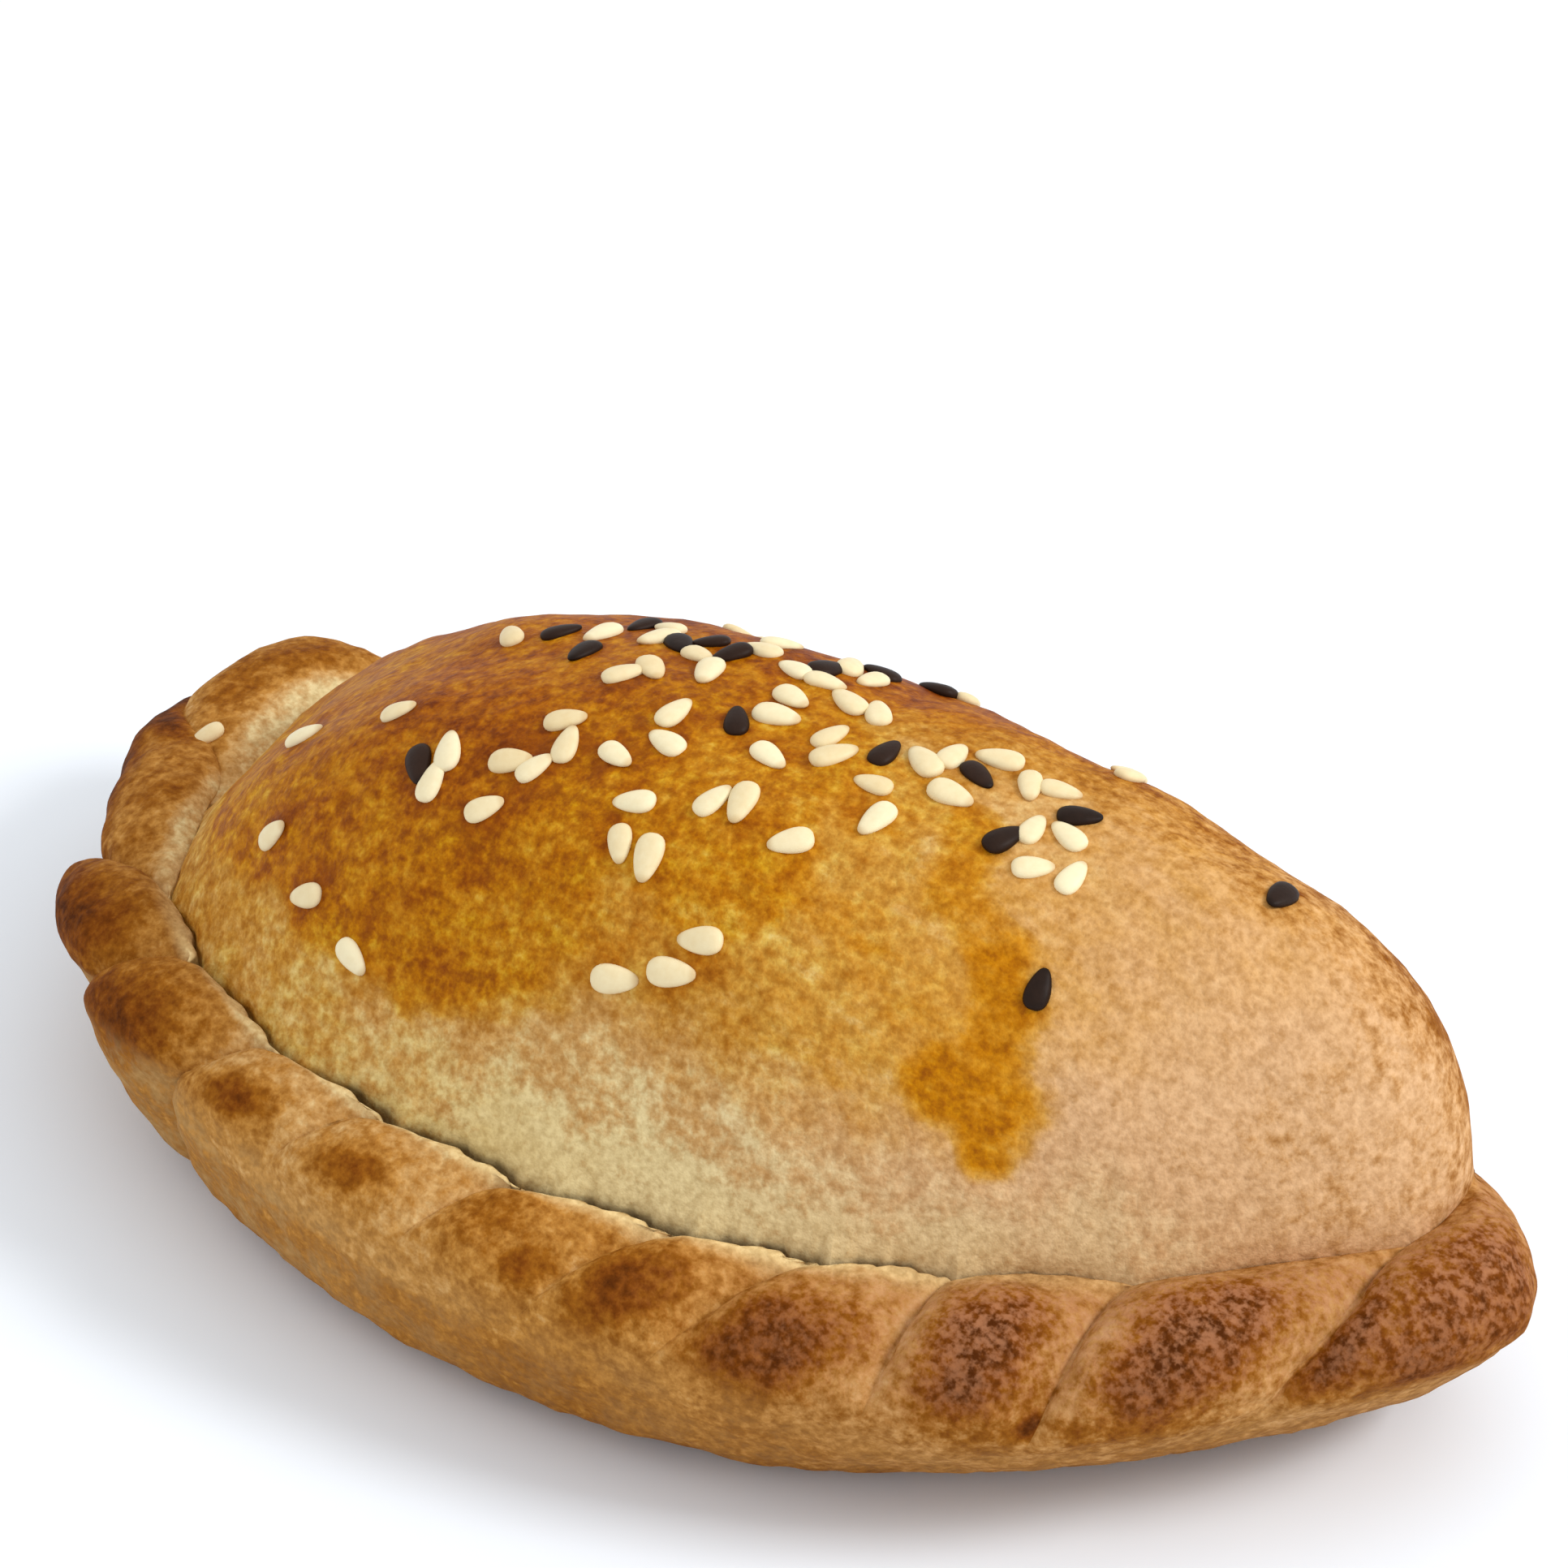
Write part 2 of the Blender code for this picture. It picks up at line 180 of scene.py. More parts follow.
def seam_columns():
    """The surface's columns, crowded near the creases by a half cosine so that each
    crease is itself a column. One row of values per column: inner and outer position
    on the seam, share of the way across its twist, cut, swell, reach, number of its
    twist, which is -1 on the fold."""
    across = (1 - np.cos(np.pi * np.arange(COLUMNS_PER_TWIST) / COLUMNS_PER_TWIST)) / 2
    start, end = CREASES[:-1, :, None], CREASES[1:, :, None]
    inner, outer, cut, _, reach = np.moveaxis(start + (end - start) * across, 1, 0)
    swell = start[:, 3] + 0 * across
    number = np.arange(len(start))[:, None] + 0 * across
    twists = np.stack((inner, outer, across + 0 * number, cut, swell, reach, number))
    share = np.arange(FOLD_COLUMNS) / FOLD_COLUMNS
    last, first = CREASES[-1], CREASES[0] + ROUND_TRIP
    fold = [last[k] + (first[k] - last[k]) * share for k in (0, 1)]
    fold += [np.full(FOLD_COLUMNS, value) for value in (0, 0, 0, last[4], -1)]
    return np.concatenate((twists.reshape(7, -1), fold), axis=1)[:, :, None]


INNER, OUTER, ACROSS, CUT, SWELL, REACH, TWIST = seam_columns()
FULLNESS = (along(OUTER)[..., -1] - SLIM_BELLY) / (FULL_BELLY - SLIM_BELLY)
ROPE_END = SLIM_END + (FULL_END - SLIM_END) * np.clip(FULLNESS, 0, 1)
print("columns round the seam:", len(INNER))

# %% [markdown]
# ## The crack
# While it bakes, the filling lifts the dome, and the dough tears a little where it meets
# the rope. A Boolean cut would give that crack even walls. Here it belongs to the section:
# the dome ends and the rope begins a little apart, and one row between them lies deeper.

# %% The course of the crack
# Position along the seam, distance outside it, how far the crack is open.
CRACK_COURSE = np.array((
    (6.0, 2.0, 0.0),
    (7.0, 2.8, 0.0),
    (7.6, 2.8, 0.1),
    (8.2, 2.6, 0.35),
    (8.6, 3.2, 0.7),
    (9.4, 4.6, 0.8),
    (9.7, 4.4, 1.7),
    (10.4, 4.6, 1.3),
    (10.9, 3.8, 1.3),
    (11.4, 3.0, 1.0),
    (12.0, 2.0, 0.35),
    (13.0, 1.6, 0.0),
)).T
# Where it gapes: position along the seam, and how much further it is open there.
HOLES = ((8.62, 1.6), (9.38, 1.4), (9.84, 0.5), (10.92, 0.6))
HOLE_LENGTH = 0.035         # in stations
CRACK_BOW = 1.2             # on each twist the crack bows this much towards the dome
WAVER, WAVER_RATE = 0.20, 41           # two sines make it ragged: how far, and how many
FINE_WAVER, FINE_RATE = 0.14, 97       # radians a station
FINE_FROM, FINE_FULL = 9.4, 10.6       # the finer one sets in along here


def crack_line():
    """The crack, per column: how far outside the seam it runs, how far it strays from
    that course, and how wide it gapes. It strays towards the dome on each twist as a
    parabola, and two sines make it ragged, the finer one only towards the tip."""
    out, opened = (np.interp(INNER, CRACK_COURSE[0], values, period=ROUND_TRIP)
                   for values in CRACK_COURSE[1:])
    for place, gape in HOLES:
        opened = opened + gape * np.exp(-((INNER - place) / HOLE_LENGTH) ** 2)
    bow = 4 * ACROSS * (1 - ACROSS) - 0.5
    ragged = (WAVER * np.sin(WAVER_RATE * INNER)
              + FINE_WAVER * np.sin(FINE_RATE * INNER + 1) * ease(FINE_FROM, FINE_FULL, INNER))
    return out, ragged * np.minimum(opened, 1) - CRACK_BOW * bow * (TWIST >= 0), opened


CRACK_OUT, STRAYING, OPENED = crack_line()
print("crack, mm outside the seam:", CRACK_OUT.min().round(1), "to", CRACK_OUT.max().round(1))

# %% [markdown]
# ## From the seam to a point
# Every stretch of the section is placed in the same two steps. Its columns cross the seam
# somewhere, and from there a point lies a share of the way in to the dome's peak, or some
# way out past the seam, at some height. Two small functions do that for whole arrays.

# %% Where a column is, and a point on it
SLANT_PAST = -0.25          # share of the lip's angle that columns slant past the outside


def seam_at(angle):
    """Where the columns cross an angle round the rope: position along the seam, place
    in plan, outward direction and the remaining station values."""
    position = OUTER + (INNER - OUTER) * np.clip(angle / LIP_ANGLE, SLANT_PAST, 1)
    values = along(position)
    ahead = along(position + 0.001)[..., :2] - along(position - 0.001)[..., :2]
    ahead /= np.linalg.norm(ahead, axis=-1, keepdims=True)
    outward = np.stack((ahead[..., 1], -ahead[..., 0]), axis=-1)
    return position, values[..., :2], outward, [values[..., k] for k in range(2, 10)]


def placed(share, out, height, place, outward):
    """Points that share of the way from the peak to the seam, moved out past it."""
    plan = PEAK + share[..., None] * (place - PEAK) + out[..., None] * outward
    return np.concatenate((plan, height[..., None]), axis=-1)


print("peak of the dome, mm:", (*PEAK.tolist(), HEIGHT))

# %% [markdown]
# ## The dome
# A dome could be a squashed sphere, but a filled turnover is flatter on top and steeper
# at the sides, and more so at its blunt end than at the ear. A superellipse has exactly
# that freedom: two exponents make it rounder or boxier. Where the dome meets the rope
# the dough flares out a little and ends at the crack.

# %% Dome and crack
SKIRT_HEIGHT = 5.5          # the dome's edge begins to spread this far above the crack
TORN_HEIGHT = 0.9           # what strays about the crack is this high
CRACK_WIDTH, CRACK_DEPTH = 0.5, 1.3
SHUT_DEPTH = 0.02           # how deep the crack is where it is shut
WIDEST = 1.6                # past this opening it gets no deeper


def dome_skin():
    """Peak to crack. A superellipse: the way out is a power of the sine, the height one
    of the cosine, and near the seam the edge spreads into a skirt as an exponential."""
    _, place, outward, values = seam_at(np.full((1, DOME_ROWS), LIP_ANGLE))
    seam, _, _, rope, roundness, crown, _, _ = values
    rope = np.clip(rope, 0, 1)
    bend = math.pi / 2 * (np.arange(1, DOME_ROWS + 1) / DOME_ROWS) ** (roundness / 2)
    share = np.sin(bend) ** (2 / roundness)
    rise = (HEIGHT - seam) * np.abs(np.cos(bend)) ** (2 / crown)
    skirt = CRACK_OUT * np.exp(-rise / SKIRT_HEIGHT)
    torn = (STRAYING - CRACK_WIDTH / 2 * OPENED) * np.exp(-rise / TORN_HEIGHT)
    return placed(share, rope * (skirt + torn), seam + rise, place, outward)


def crack_skin():
    """The bottom of the crack between dome and rope, one row."""
    _, place, outward, values = seam_at(np.full((1, 1), LIP_ANGLE))
    rope = np.clip(values[3], 0, 1)
    depth = SHUT_DEPTH + CRACK_DEPTH * rope * np.minimum(OPENED, WIDEST)
    out = rope * (CRACK_OUT + STRAYING)
    return placed(np.ones_like(depth), out, values[0] - depth, place, outward)


DOME, CRACK = dome_skin(), crack_skin()
print("rows of the dome and the crack:", DOME.shape[1], "and", CRACK.shape[1])

# %% [markdown]
# ## The rope
# Cut across, the rope is an ellipse whose size swells and sinks over each twist. A pattern
# that pushes the surface out would blur the creases. Here the columns slant with them, so
# each crease is itself a line of the mesh and stays sharp.

# %% Rope
ROPE_LIFT = 0.8             # the rope's top is this much above the seam
LIP_RISE = 0.45             # its lip stands this much above the dome's edge
ARCH_TOP, ARCH_SIDES = 2.2, 0.8        # a twist's arch: how flat on top, how steep beside it
ARCH_MEAN = 0.72            # where the arch has this height the rope keeps its plain size
SHUT_SHOULDER, OPEN_SHOULDER = 1.3, 0.6          # exponents of the way down to the lip
TORN_POWER = 12             # how close to the lip the torn edge keeps


def rope_skin():
    """Round the rope, from its lip over the top to the underside. Outside its top it is
    an ellipse, whose size is 1 + depth x (ridge - mean), where the ridge rises across
    each twist as a leaning, flattened arch. Inside it is a superellipse down to the lip,
    square-shouldered where the crack is open and rounder where it is closed."""
    angle = LIP_ANGLE + (ROPE_END - LIP_ANGLE) * np.linspace(0, 1, ROPE_ROWS)
    position, place, outward, values = seam_at(angle)
    seam, width, depth, rope, _, _, _, _ = values
    rope = np.clip(rope, 0, 1)
    hump = 1 - np.abs(2 * ACROSS ** TWIST_LEAN - 1) ** ARCH_TOP
    arch = np.clip(hump, 0, 1) ** ARCH_SIDES
    ridge = SWELL * (1 - CUT * (1 - arch))
    fade = ease(REACH, REACH + CREASE_FADE, angle)
    size = 1 + TWIST_DEPTH * (ridge - ARCH_MEAN) * rope * fade
    turn = np.radians(np.minimum(angle, 90))
    out = width / 2 * (1 + size * np.cos(turn))
    height = seam + ROPE_LIFT - depth / 2 + depth / 2 * size * np.sin(turn)
    inwards = math.pi / 2 * np.clip((angle - 90) / (LIP_ANGLE - 90), 0, 1)
    torn = STRAYING + CRACK_WIDTH / 2 * OPENED
    lip_height = seam + LIP_RISE * np.clip(OPENED, 0, 1)
    shoulder = np.interp(OPENED, (0, 1), (SHUT_SHOULDER, OPEN_SHOULDER))
    out += (CRACK_OUT - width / 2) * np.sin(inwards) + torn * np.sin(inwards) ** TORN_POWER
    height = lip_height + (height - lip_height) * np.cos(inwards) ** shoulder
    down = np.linspace(0, 1, ROPE_ROWS + 1)[1:]
    wall_out = FOLD_BULGE * np.sin(math.pi * down) ** 2
    out = rope * out + (1 - rope) * wall_out
    height = rope * height + (1 - rope) * (seam - FOLD_WALL * down)
    skin = placed(np.ones_like(out), out, height, place, outward)
    return skin, angle, position, arch * fade * rope


ROPE, ROPE_ANGLE, ROPE_POSITION, RIDGE = rope_skin()
print("rope, mm above the table:", ROPE[..., 2].min().round(1), "to", ROPE[..., 2].max().round(1))

# %% [markdown]
# ## The underside
# Under the rope the dough curves in to the flat base that it was baked on. A parabola does
# that with one number for its belly, and rings that shrink to the middle fill the base.
# Then the stretches are laid side by side as one grid, and the rows where rope and
# underside meet are smoothed, as dough has no edge there.

# %% Underside, and all stretches as one grid
TURN_ROWS, TURN_PASSES = 10, 30        # rows each side of the rope's lower end, and passes
ABOVE_FOLD, BELOW_FOLD, FOLD_PASSES = 8, 24, 60  # the same round the pressed fold


def hull_skin(rope_edge):
    """The underside: a parabola from the rope's last row, down and in to the base."""
    _, place, outward, values = seam_at(ROPE_END * np.ones((1, HULL_ROWS)))
    foot, belly = values[6], values[7]
    edge_out = ((rope_edge[:, None, :2] - place) * outward).sum(axis=-1)
    u = np.arange(1, HULL_ROWS + 1)[None] / HULL_ROWS
    out = (1 - u) ** 2 * edge_out + 2 * u * (1 - u) * edge_out * belly
    share = (1 - u) ** 2 + 2 * u * (1 - u) + u ** 2 * foot
    return placed(share, out, (1 - u) ** 2 * rope_edge[:, None, 2], place, outward)


def base_skin(hull_edge):
    """The flat base: rings that shrink from the underside's edge towards its middle."""
    shrink = 1 - np.arange(1, BASE_ROWS + 1)[None, :, None] / (BASE_ROWS + 1)
    middle = np.array((*PEAK, 0.0))
    return middle + (hull_edge[:, None] - middle) * shrink


def rounded(grid, first, last, passes, share=1.0):
    """The grid with some of its rows smoothed. In each pass a row moves a quarter of the
    way to the row before and a quarter to the row after, times the column's share."""
    for _ in range(passes):
        before, here, after = (grid[:, first + k:last + k] for k in (-1, 0, 1))
        grid[:, first:last] = here + share * (before + after - 2 * here) / 4
    return grid


HULL = hull_skin(ROPE[:, -1])
BASE = base_skin(HULL[:, -1])
FIRST_ROPE_ROW = DOME_ROWS + 1
FIRST_HULL_ROW = FIRST_ROPE_ROW + ROPE_ROWS
SKIN = np.concatenate((DOME, CRACK, ROPE, HULL, BASE), axis=1)
SKIN = rounded(SKIN, FIRST_HULL_ROW - TURN_ROWS, FIRST_HULL_ROW + TURN_ROWS, TURN_PASSES)
ON_FOLD = (TWIST < 0)[..., None]
SKIN = rounded(SKIN, DOME_ROWS - ABOVE_FOLD, FIRST_ROPE_ROW + BELOW_FOLD, FOLD_PASSES, ON_FOLD)
COLUMNS, ROWS = SKIN.shape[:2]
print("crust grid:", COLUMNS, "x", ROWS)

# %% [markdown]
# ## Relief
# Baked dough is never smooth. Big soft lumps come from the filling, smaller ones from
# bubbles and from fingers, and the skin has a leathery grain. A noise texture could push
# the surface out at render time, but an exported mesh would lose that, so everything
# larger than a millimetre is moved in the mesh here and only the grain is left to bump.
#
# The random field is a sum of cosine waves that run in random directions. It is smooth,
# has one clear wavelength, and needs no grid of its own.

# %% Random fields and lumps
LUMPS = (                   # place, radius and push of the dome's soft lumps and dents
    ((41.8, 14.8, 28.0), 9.0, 1.2),
    ((27.8, 20.8, 33.0), 8.0, -0.5),
    ((7.8, -7.2, 30.0), 16.0, 0.5),
    ((-24.2, 10.8, 30.0), 10.0, 0.4),
)
CORE = np.array((-2.2, 7.8, 14.0))     # lumps push away from this point


def ripple(points, wavelength, seed, waves=28):
    """A random field of one wavelength, about -1 to 1: the sum of cosines of the place
    along random directions, each with a random phase, divided by the root of their
    number and times 0.7, so that it strays from 0 by a half on average."""
    draw = np.random.default_rng(seed)
    heading = draw.normal(size=(waves, 3))
    heading /= np.linalg.norm(heading, axis=1, keepdims=True)
    stretch = draw.uniform(0.75, 1.35, size=(waves, 1))
    phase = draw.uniform(0, math.tau, size=waves)
    angles = points @ (heading * stretch * math.tau / wavelength).T + phase
    return np.cos(angles).sum(axis=-1) / math.sqrt(waves) * 0.7


def rippled(points, fields):
    """The sum of several random fields, each given by height, wavelength and seed."""
    return sum(height * ripple(points, size, seed) for height, size, seed in fields)


def lumped(points):
    """The points pushed away from the core by a bell curve round each lump."""
    moved = points.copy()
    held = ease(0.0, 6.0, points[..., 2])
    for centre, radius, push in LUMPS:
        away = np.array(centre) - CORE
        away /= np.linalg.norm(away)
        distance = np.linalg.norm(points - np.array(centre), axis=-1)
        moved += (push * held * np.exp(-(distance / radius) ** 2))[..., None] * away
    return moved


def outward_normals(skin):
    """Unit normals of the grid: the cross product of its two directions."""
    along_seam = np.roll(skin, -1, axis=0) - np.roll(skin, 1, axis=0)
    down_rows = np.gradient(skin, axis=1)
    normal = np.cross(down_rows, along_seam)
    return normal / np.maximum(np.linalg.norm(normal, axis=-1, keepdims=True), 1e-9)


print("lumps and dents:", len(LUMPS))

# %% Where on the crust each kind of relief belongs
DOME_FIELDS = ((0.22, 13.0, 11), (0.07, 5.5, 12), (0.05, 2.4, 13))
ROPE_FIELDS = ((0.15, 5.0, 14), (0.07, 2.3, 15))
ROPE_SUNK = 0.08            # the rope's relief is set in by this much
PLEATED = (11.6, 12.3, 13.4, 14.2)     # stretch of the seam: start, full, fading, end
PLEAT_HEIGHT, PLEAT_SPACING, PLEAT_WANDER = 0.13, 1.9, 1.6
PLEATS_ACROSS = np.array((0.75, 0.5, 0.0))       # the way from one pleat to the next

row = np.arange(ROWS)[None] + np.zeros((COLUMNS, 1))
on_dome = ease(DOME_ROWS - 1, DOME_ROWS - 9, row)
on_rope = ease(FIRST_ROPE_ROW + 2, FIRST_ROPE_ROW + 14, row)
off_table = ease(0.2, 3.0, SKIN[..., 2])
position = np.concatenate((
    seam_at(np.full((1, FIRST_ROPE_ROW), LIP_ANGLE))[0], ROPE_POSITION,
    seam_at(ROPE_END * np.ones((1, HULL_ROWS + BASE_ROWS)))[0]), axis=1)


def above_seam(points):
    """Height of the crust's points above the seam beside them."""
    return points[..., 2] - along(position)[..., 2]


skin = lumped(SKIN)
relief = on_dome * rippled(skin, DOME_FIELDS)
relief += on_rope * (rippled(skin, ROPE_FIELDS) - ROPE_SUNK)

# Fine pleats run down the dome where the seam is pinched shut towards the right tip.
pinched = between(*PLEATED, position) * ease(11.0, 1.0, above_seam(skin))
pleats = np.cos(math.tau * (skin @ PLEATS_ACROSS) / PLEAT_SPACING
                + PLEAT_WANDER * ripple(skin, 7.0, 16))
relief += on_dome * pinched * PLEAT_HEIGHT * pleats
skin = skin + (relief * off_table)[..., None] * outward_normals(skin)
print("relief, mm:", relief.min().round(2), "to", relief.max().round(2))

# %% [markdown]
# ## Filling the solid's box
# Lumps and relief change the outer size a little, and the finished food has to be as large
# as its solid and no larger. Scaling the object would do it, but it would leave a scale
# behind that turns up in every later measure, so the points themselves are moved.

# %% Fit the skin to the solid
BOX_GAP, SEED_ROOM = 0.03, 0.66        # how far short of the sides and of the top it stays


def fitted(points, box, gap, room):
    """The points scaled and moved until they fill the box, short of its sides by the gap
    and of its top by the room that a seed needs."""
    low, high = (np.array(corner) / MM for corner in box)
    low[:2] += gap
    high -= (gap, gap, room)
    least, most = points.min(axis=(0, 1)), points.max(axis=(0, 1))
    return low + (points - least) * (high - low) / (most - least)


skin = fitted(skin, SOLID_BOX, BOX_GAP, SEED_ROOM)
print("skin, mm:", skin.min(axis=(0, 1)).round(2), "to", skin.max(axis=(0, 1)).round(2))

# %% [markdown]
# ## One closed mesh
# A grid that wraps round the seam has two open ends, at the peak and under the base.
# A fan of triangles to one point closes each. Faces list their corners so that their
# normals point out of the dough.

# %% Build the crust mesh
def closed_faces(columns, rows):
    """The quads of a grid that wraps in its first direction, and the triangles of the
    two fans that close its ends on the next two points."""
    index = np.arange(columns * rows).reshape(columns, rows)
    beside = np.roll(index, -1, axis=0)
    quads = np.stack((index[:, :-1], index[:, 1:], beside[:, 1:], beside[:, :-1]), axis=-1)
    first, last = columns * rows, columns * rows + 1
    upper = np.stack((np.full(columns, first), index[:, 0], beside[:, 0]), axis=-1)
    lower = np.stack((np.full(columns, last), beside[:, -1], index[:, -1]), axis=-1)
    return quads.reshape(-1, 4), np.concatenate((upper, lower))


def smooth_mesh(name, points, faces):
    """A smooth-shaded mesh of those points, in metres, and faces."""
    mesh = bpy.data.meshes.new(name)
    mesh.from_pydata(points.tolist(), [], faces)
    mesh.shade_smooth()
    return mesh


def add_object(name, data):
    """A new object that shows that mesh, lamp or camera, linked to the scene."""
    made = bpy.data.objects.new(name, data)
    bpy.context.scene.collection.objects.link(made)
    return made


def add_piece(name, mesh):
    """A mesh as a piece that rides on the food's one body."""
    piece = add_object(name, mesh)
    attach(piece, "root")
    return piece


quads, fans = closed_faces(COLUMNS, ROWS)
ends = [(*PEAK, skin[:, 0, 2].mean()), (*PEAK, 0.0)]
crust_points = np.concatenate((skin.reshape(-1, 3), ends)) * MM
crust_faces = quads.tolist() + fans.tolist()
crust_mesh = smooth_mesh("crust", crust_points, crust_faces)
crust = add_piece("crust", crust_mesh)
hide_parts("empanada")
print("crust faces:", len(crust_faces))

# %% [markdown]
# ## What baking did, as masks
# Colour follows cause. Twists that stand proud brown first, valleys stay pale, flour and
# steam keep the dough light along the seam, the underside and the rope low on its outside
# bake on the hot tray and are darkened further with painted shade where they face down,
# and the back is browner. All of that is one number per point, how far the dough is
# baked, with that painted shade in it. One could paint it on by hand. Worked out from the
# form, it keeps to every twist and crease, and one value mends it. Each mask is stored on
# the mesh as an attribute, where the material finds it.

# %% How the rope browned
# Position along the seam and how far the rope is baked there: 0 is pale, 1 dark brown.
ROPE_BAKE = np.array((
    (4.8, 0.50), (5.5, 0.36), (6.3, 0.40), (6.9, 0.50), (8.2, 0.50), (8.8, 0.46), (9.1, 0.34),
    (10.2, 0.33), (10.7, 0.44), (11.2, 0.47), (12.0, 0.47), (13.3, 0.44), (14.4, 0.50),
    (15.3, 0.52),
)).T
# Browner and paler places of the twists: number of the twist, share of the way across it,
# angle round the rope, reach across and round, and how much browner it is.
BROWNED = (
    (0, 0.55, 78, 0.40, 30, 0.26), (0, 0.50, 5, 0.45, 26, 0.40),
    (0, 0.50, -25, 0.60, 34, 0.40), (1, 0.40, 12, 0.45, 34, 0.36),
    (1, 0.62, -8, 0.50, 30, 0.34), (1, 0.08, 60, 0.10, 20, 0.44), (1, 0.06, 20, 0.12, 34, 0.34),
    (2, 0.50, 38, 0.42, 44, 0.36), (2, 0.55, -5, 0.40, 24, 0.06),
    (3, 0.48, 38, 0.40, 44, 0.33), (4, 0.50, 47, 0.26, 19, 0.49),
    (5, 0.42, 50, 0.25, 19, 0.44), (6, 0.30, 65, 0.38, 26, 0.25),
    (6, 0.75, 43, 0.22, 17, 0.27), (7, 0.46, 54, 0.36, 32, 0.40),
    (8, 0.42, 50, 0.34, 34, 0.46), (9, 0.50, 58, 0.32, 42, 0.50),
    (10, 0.45, 56, 0.30, 48, 0.48), (11, 0.40, 42, 0.38, 60, 0.36),
    (11, 0.06, 34, 0.06, 44, 0.34), (9, 0.97, 3, 0.10, 12, 0.44),
    (8, 0.97, 70, 0.12, 44, -0.10), (9, 0.00, 70, 0.08, 44, -0.09),
    (9, 0.97, 66, 0.10, 34, -0.04), (10, 0.02, 50, 0.12, 44, -0.07),
)
VALLEY_PALE = 0.05          # how much paler the creases are
# Low on its outside the rope is darker: tray browning, and painted shade where it faces down.
LOW_BAKE_AND_SHADE = 0.11             # how much browner the rope is low on its outside
EAR_PALE = 0.32             # how much paler the ear's inner half is
SHOULDER_PALE = 0.16        # how much paler the front's inner shoulder is
ON_EAR, ON_FRONT = (5.2, 5.8, 7.8, 8.6), (8.5, 9.2, 10.7, 11.5)   # start, full, fading, end
SPOT_EDGE = 1.4             # above 1 a browned place is flatter in the middle


def rope_bake():
    """The level along the rope, less in its valleys, more low on its outside, less on the
    ear's inner half and the front's inner shoulder. Each browned place adds a bell with a
    flattened top, e to the -(d^2)^1.4, its distance d measured across its twist and
    round the rope."""
    level = np.interp(ROPE_POSITION, *ROPE_BAKE, period=ROUND_TRIP)
    level = level - VALLEY_PALE * (1 - np.clip(RIDGE, 0, 1)) * (TWIST >= 0)
    # Tray browning and painted shade low on the rope's outside.
    level += LOW_BAKE_AND_SHADE * ease(60, 0, ROPE_ANGLE)
    on_ear = between(*ON_EAR, ROPE_POSITION % ROUND_TRIP)
    level -= EAR_PALE * ease(100, 135, ROPE_ANGLE) * on_ear
    level -= SHOULDER_PALE * ease(88, 125, ROPE_ANGLE) * between(*ON_FRONT, ROPE_POSITION)
    for twist, across, angle, reach, turn, amount in BROWNED:
        far = ((ACROSS - across) / reach) ** 2 + ((ROPE_ANGLE - angle) / turn) ** 2
        level += amount * np.exp(-far ** SPOT_EDGE) * (TWIST == twist)
    return level


print("browned places on the rope:", len(BROWNED))

# %% How the whole crust browned
# The underside's level holds tray browning, and painted shade where it faces down.
DOME_BAKE, UNDER_BAKE_AND_SHADE = 0.22, 0.57
BACK_BAKE = 0.28            # how much browner the back is, and
BLUNT_SHARE = 0.38          # what share of that the blunt end gets
TRAY_BAKE = 0.12            # how much browner the edge of the base is
FLOUR_PALE = 0.28           # how much paler the flour along the seam leaves the dome
FLOURED = (6.4, 7.4, 12.0, 13.4)       # where it lies: start, full, fading, end
# Browner and paler places of the dome: middle, radius and how much browner.
DOME_SPOTS = (
    ((-20.0, 0.0, 37.0), 9.0, 0.22), ((-25.0, -8.0, 31.0), 8.0, 0.03),
    ((46.0, 20.0, 30.0), 9.0, 0.12), ((14.0, -15.0, 21.0), 6.0, -0.06),
    ((-30.0, -12.0, 22.0), 6.0, 0.08), ((-14.0, -17.0, 21.0), 6.0, 0.06),
)

height = above_seam(skin)
to_dome = ease(FIRST_ROPE_ROW + 1, FIRST_ROPE_ROW - 2, row)


def flour_left():
    """Flour low on the dome: it thins out up to 9 mm above the seam, along a line that
    wanders, and there is little of it left of the front's middle."""
    low = ease(9.0, 0.5, height + 1.6 * ripple(skin, 8.0, 23))
    return low * between(*FLOURED, position) * (0.1 + 0.9 * ease(8.6, 10.5, position))


def dome_bake():
    """The dome's level, more at the back and the blunt end, less under flour, plus a bell
    curve for each browner place."""
    back, blunt = ease(7.0, 19.0, skin[..., 1]), ease(38.0, 50.0, skin[..., 0])
    level = DOME_BAKE + BACK_BAKE * np.maximum(back, BLUNT_SHARE * blunt)
    level -= FLOUR_PALE * floured
    for middle, radius, amount in DOME_SPOTS:
        level += amount * np.exp(-(np.linalg.norm(skin - middle, axis=-1) / radius) ** 2)
    return level


floured = flour_left()
bake = np.full((COLUMNS, ROWS), UNDER_BAKE_AND_SHADE)
bake[:, FIRST_ROPE_ROW:FIRST_HULL_ROW] = rope_bake()
# Towards the table below the rope the level goes to the underside's: tray browning and painted
# shade.
under = ease(13.0, 3.0, skin[..., 2]) * ease(FIRST_ROPE_ROW + 20, FIRST_ROPE_ROW + 40, row)
bake += under * (UNDER_BAKE_AND_SHADE - bake) + TRAY_BAKE * ease(2.0, 0.3, skin[..., 2])
bake += to_dome * (dome_bake() - bake)
print("baked, mean of dome and rope:", bake[:, :DOME_ROWS].mean().round(2),
      bake[:, FIRST_ROPE_ROW:FIRST_HULL_ROW].mean().round(2))

# %% [markdown]
# ## Where the egg wash went
# Egg was brushed over the left half and the ridge in broad strokes, ran down the front in
# a drip or two and missed the right end. A noise texture would give blots without a
# direction. A line along the seam for the brushed edge and a few straight strokes give
# the hand's way of working, and a little wander makes their edges real.

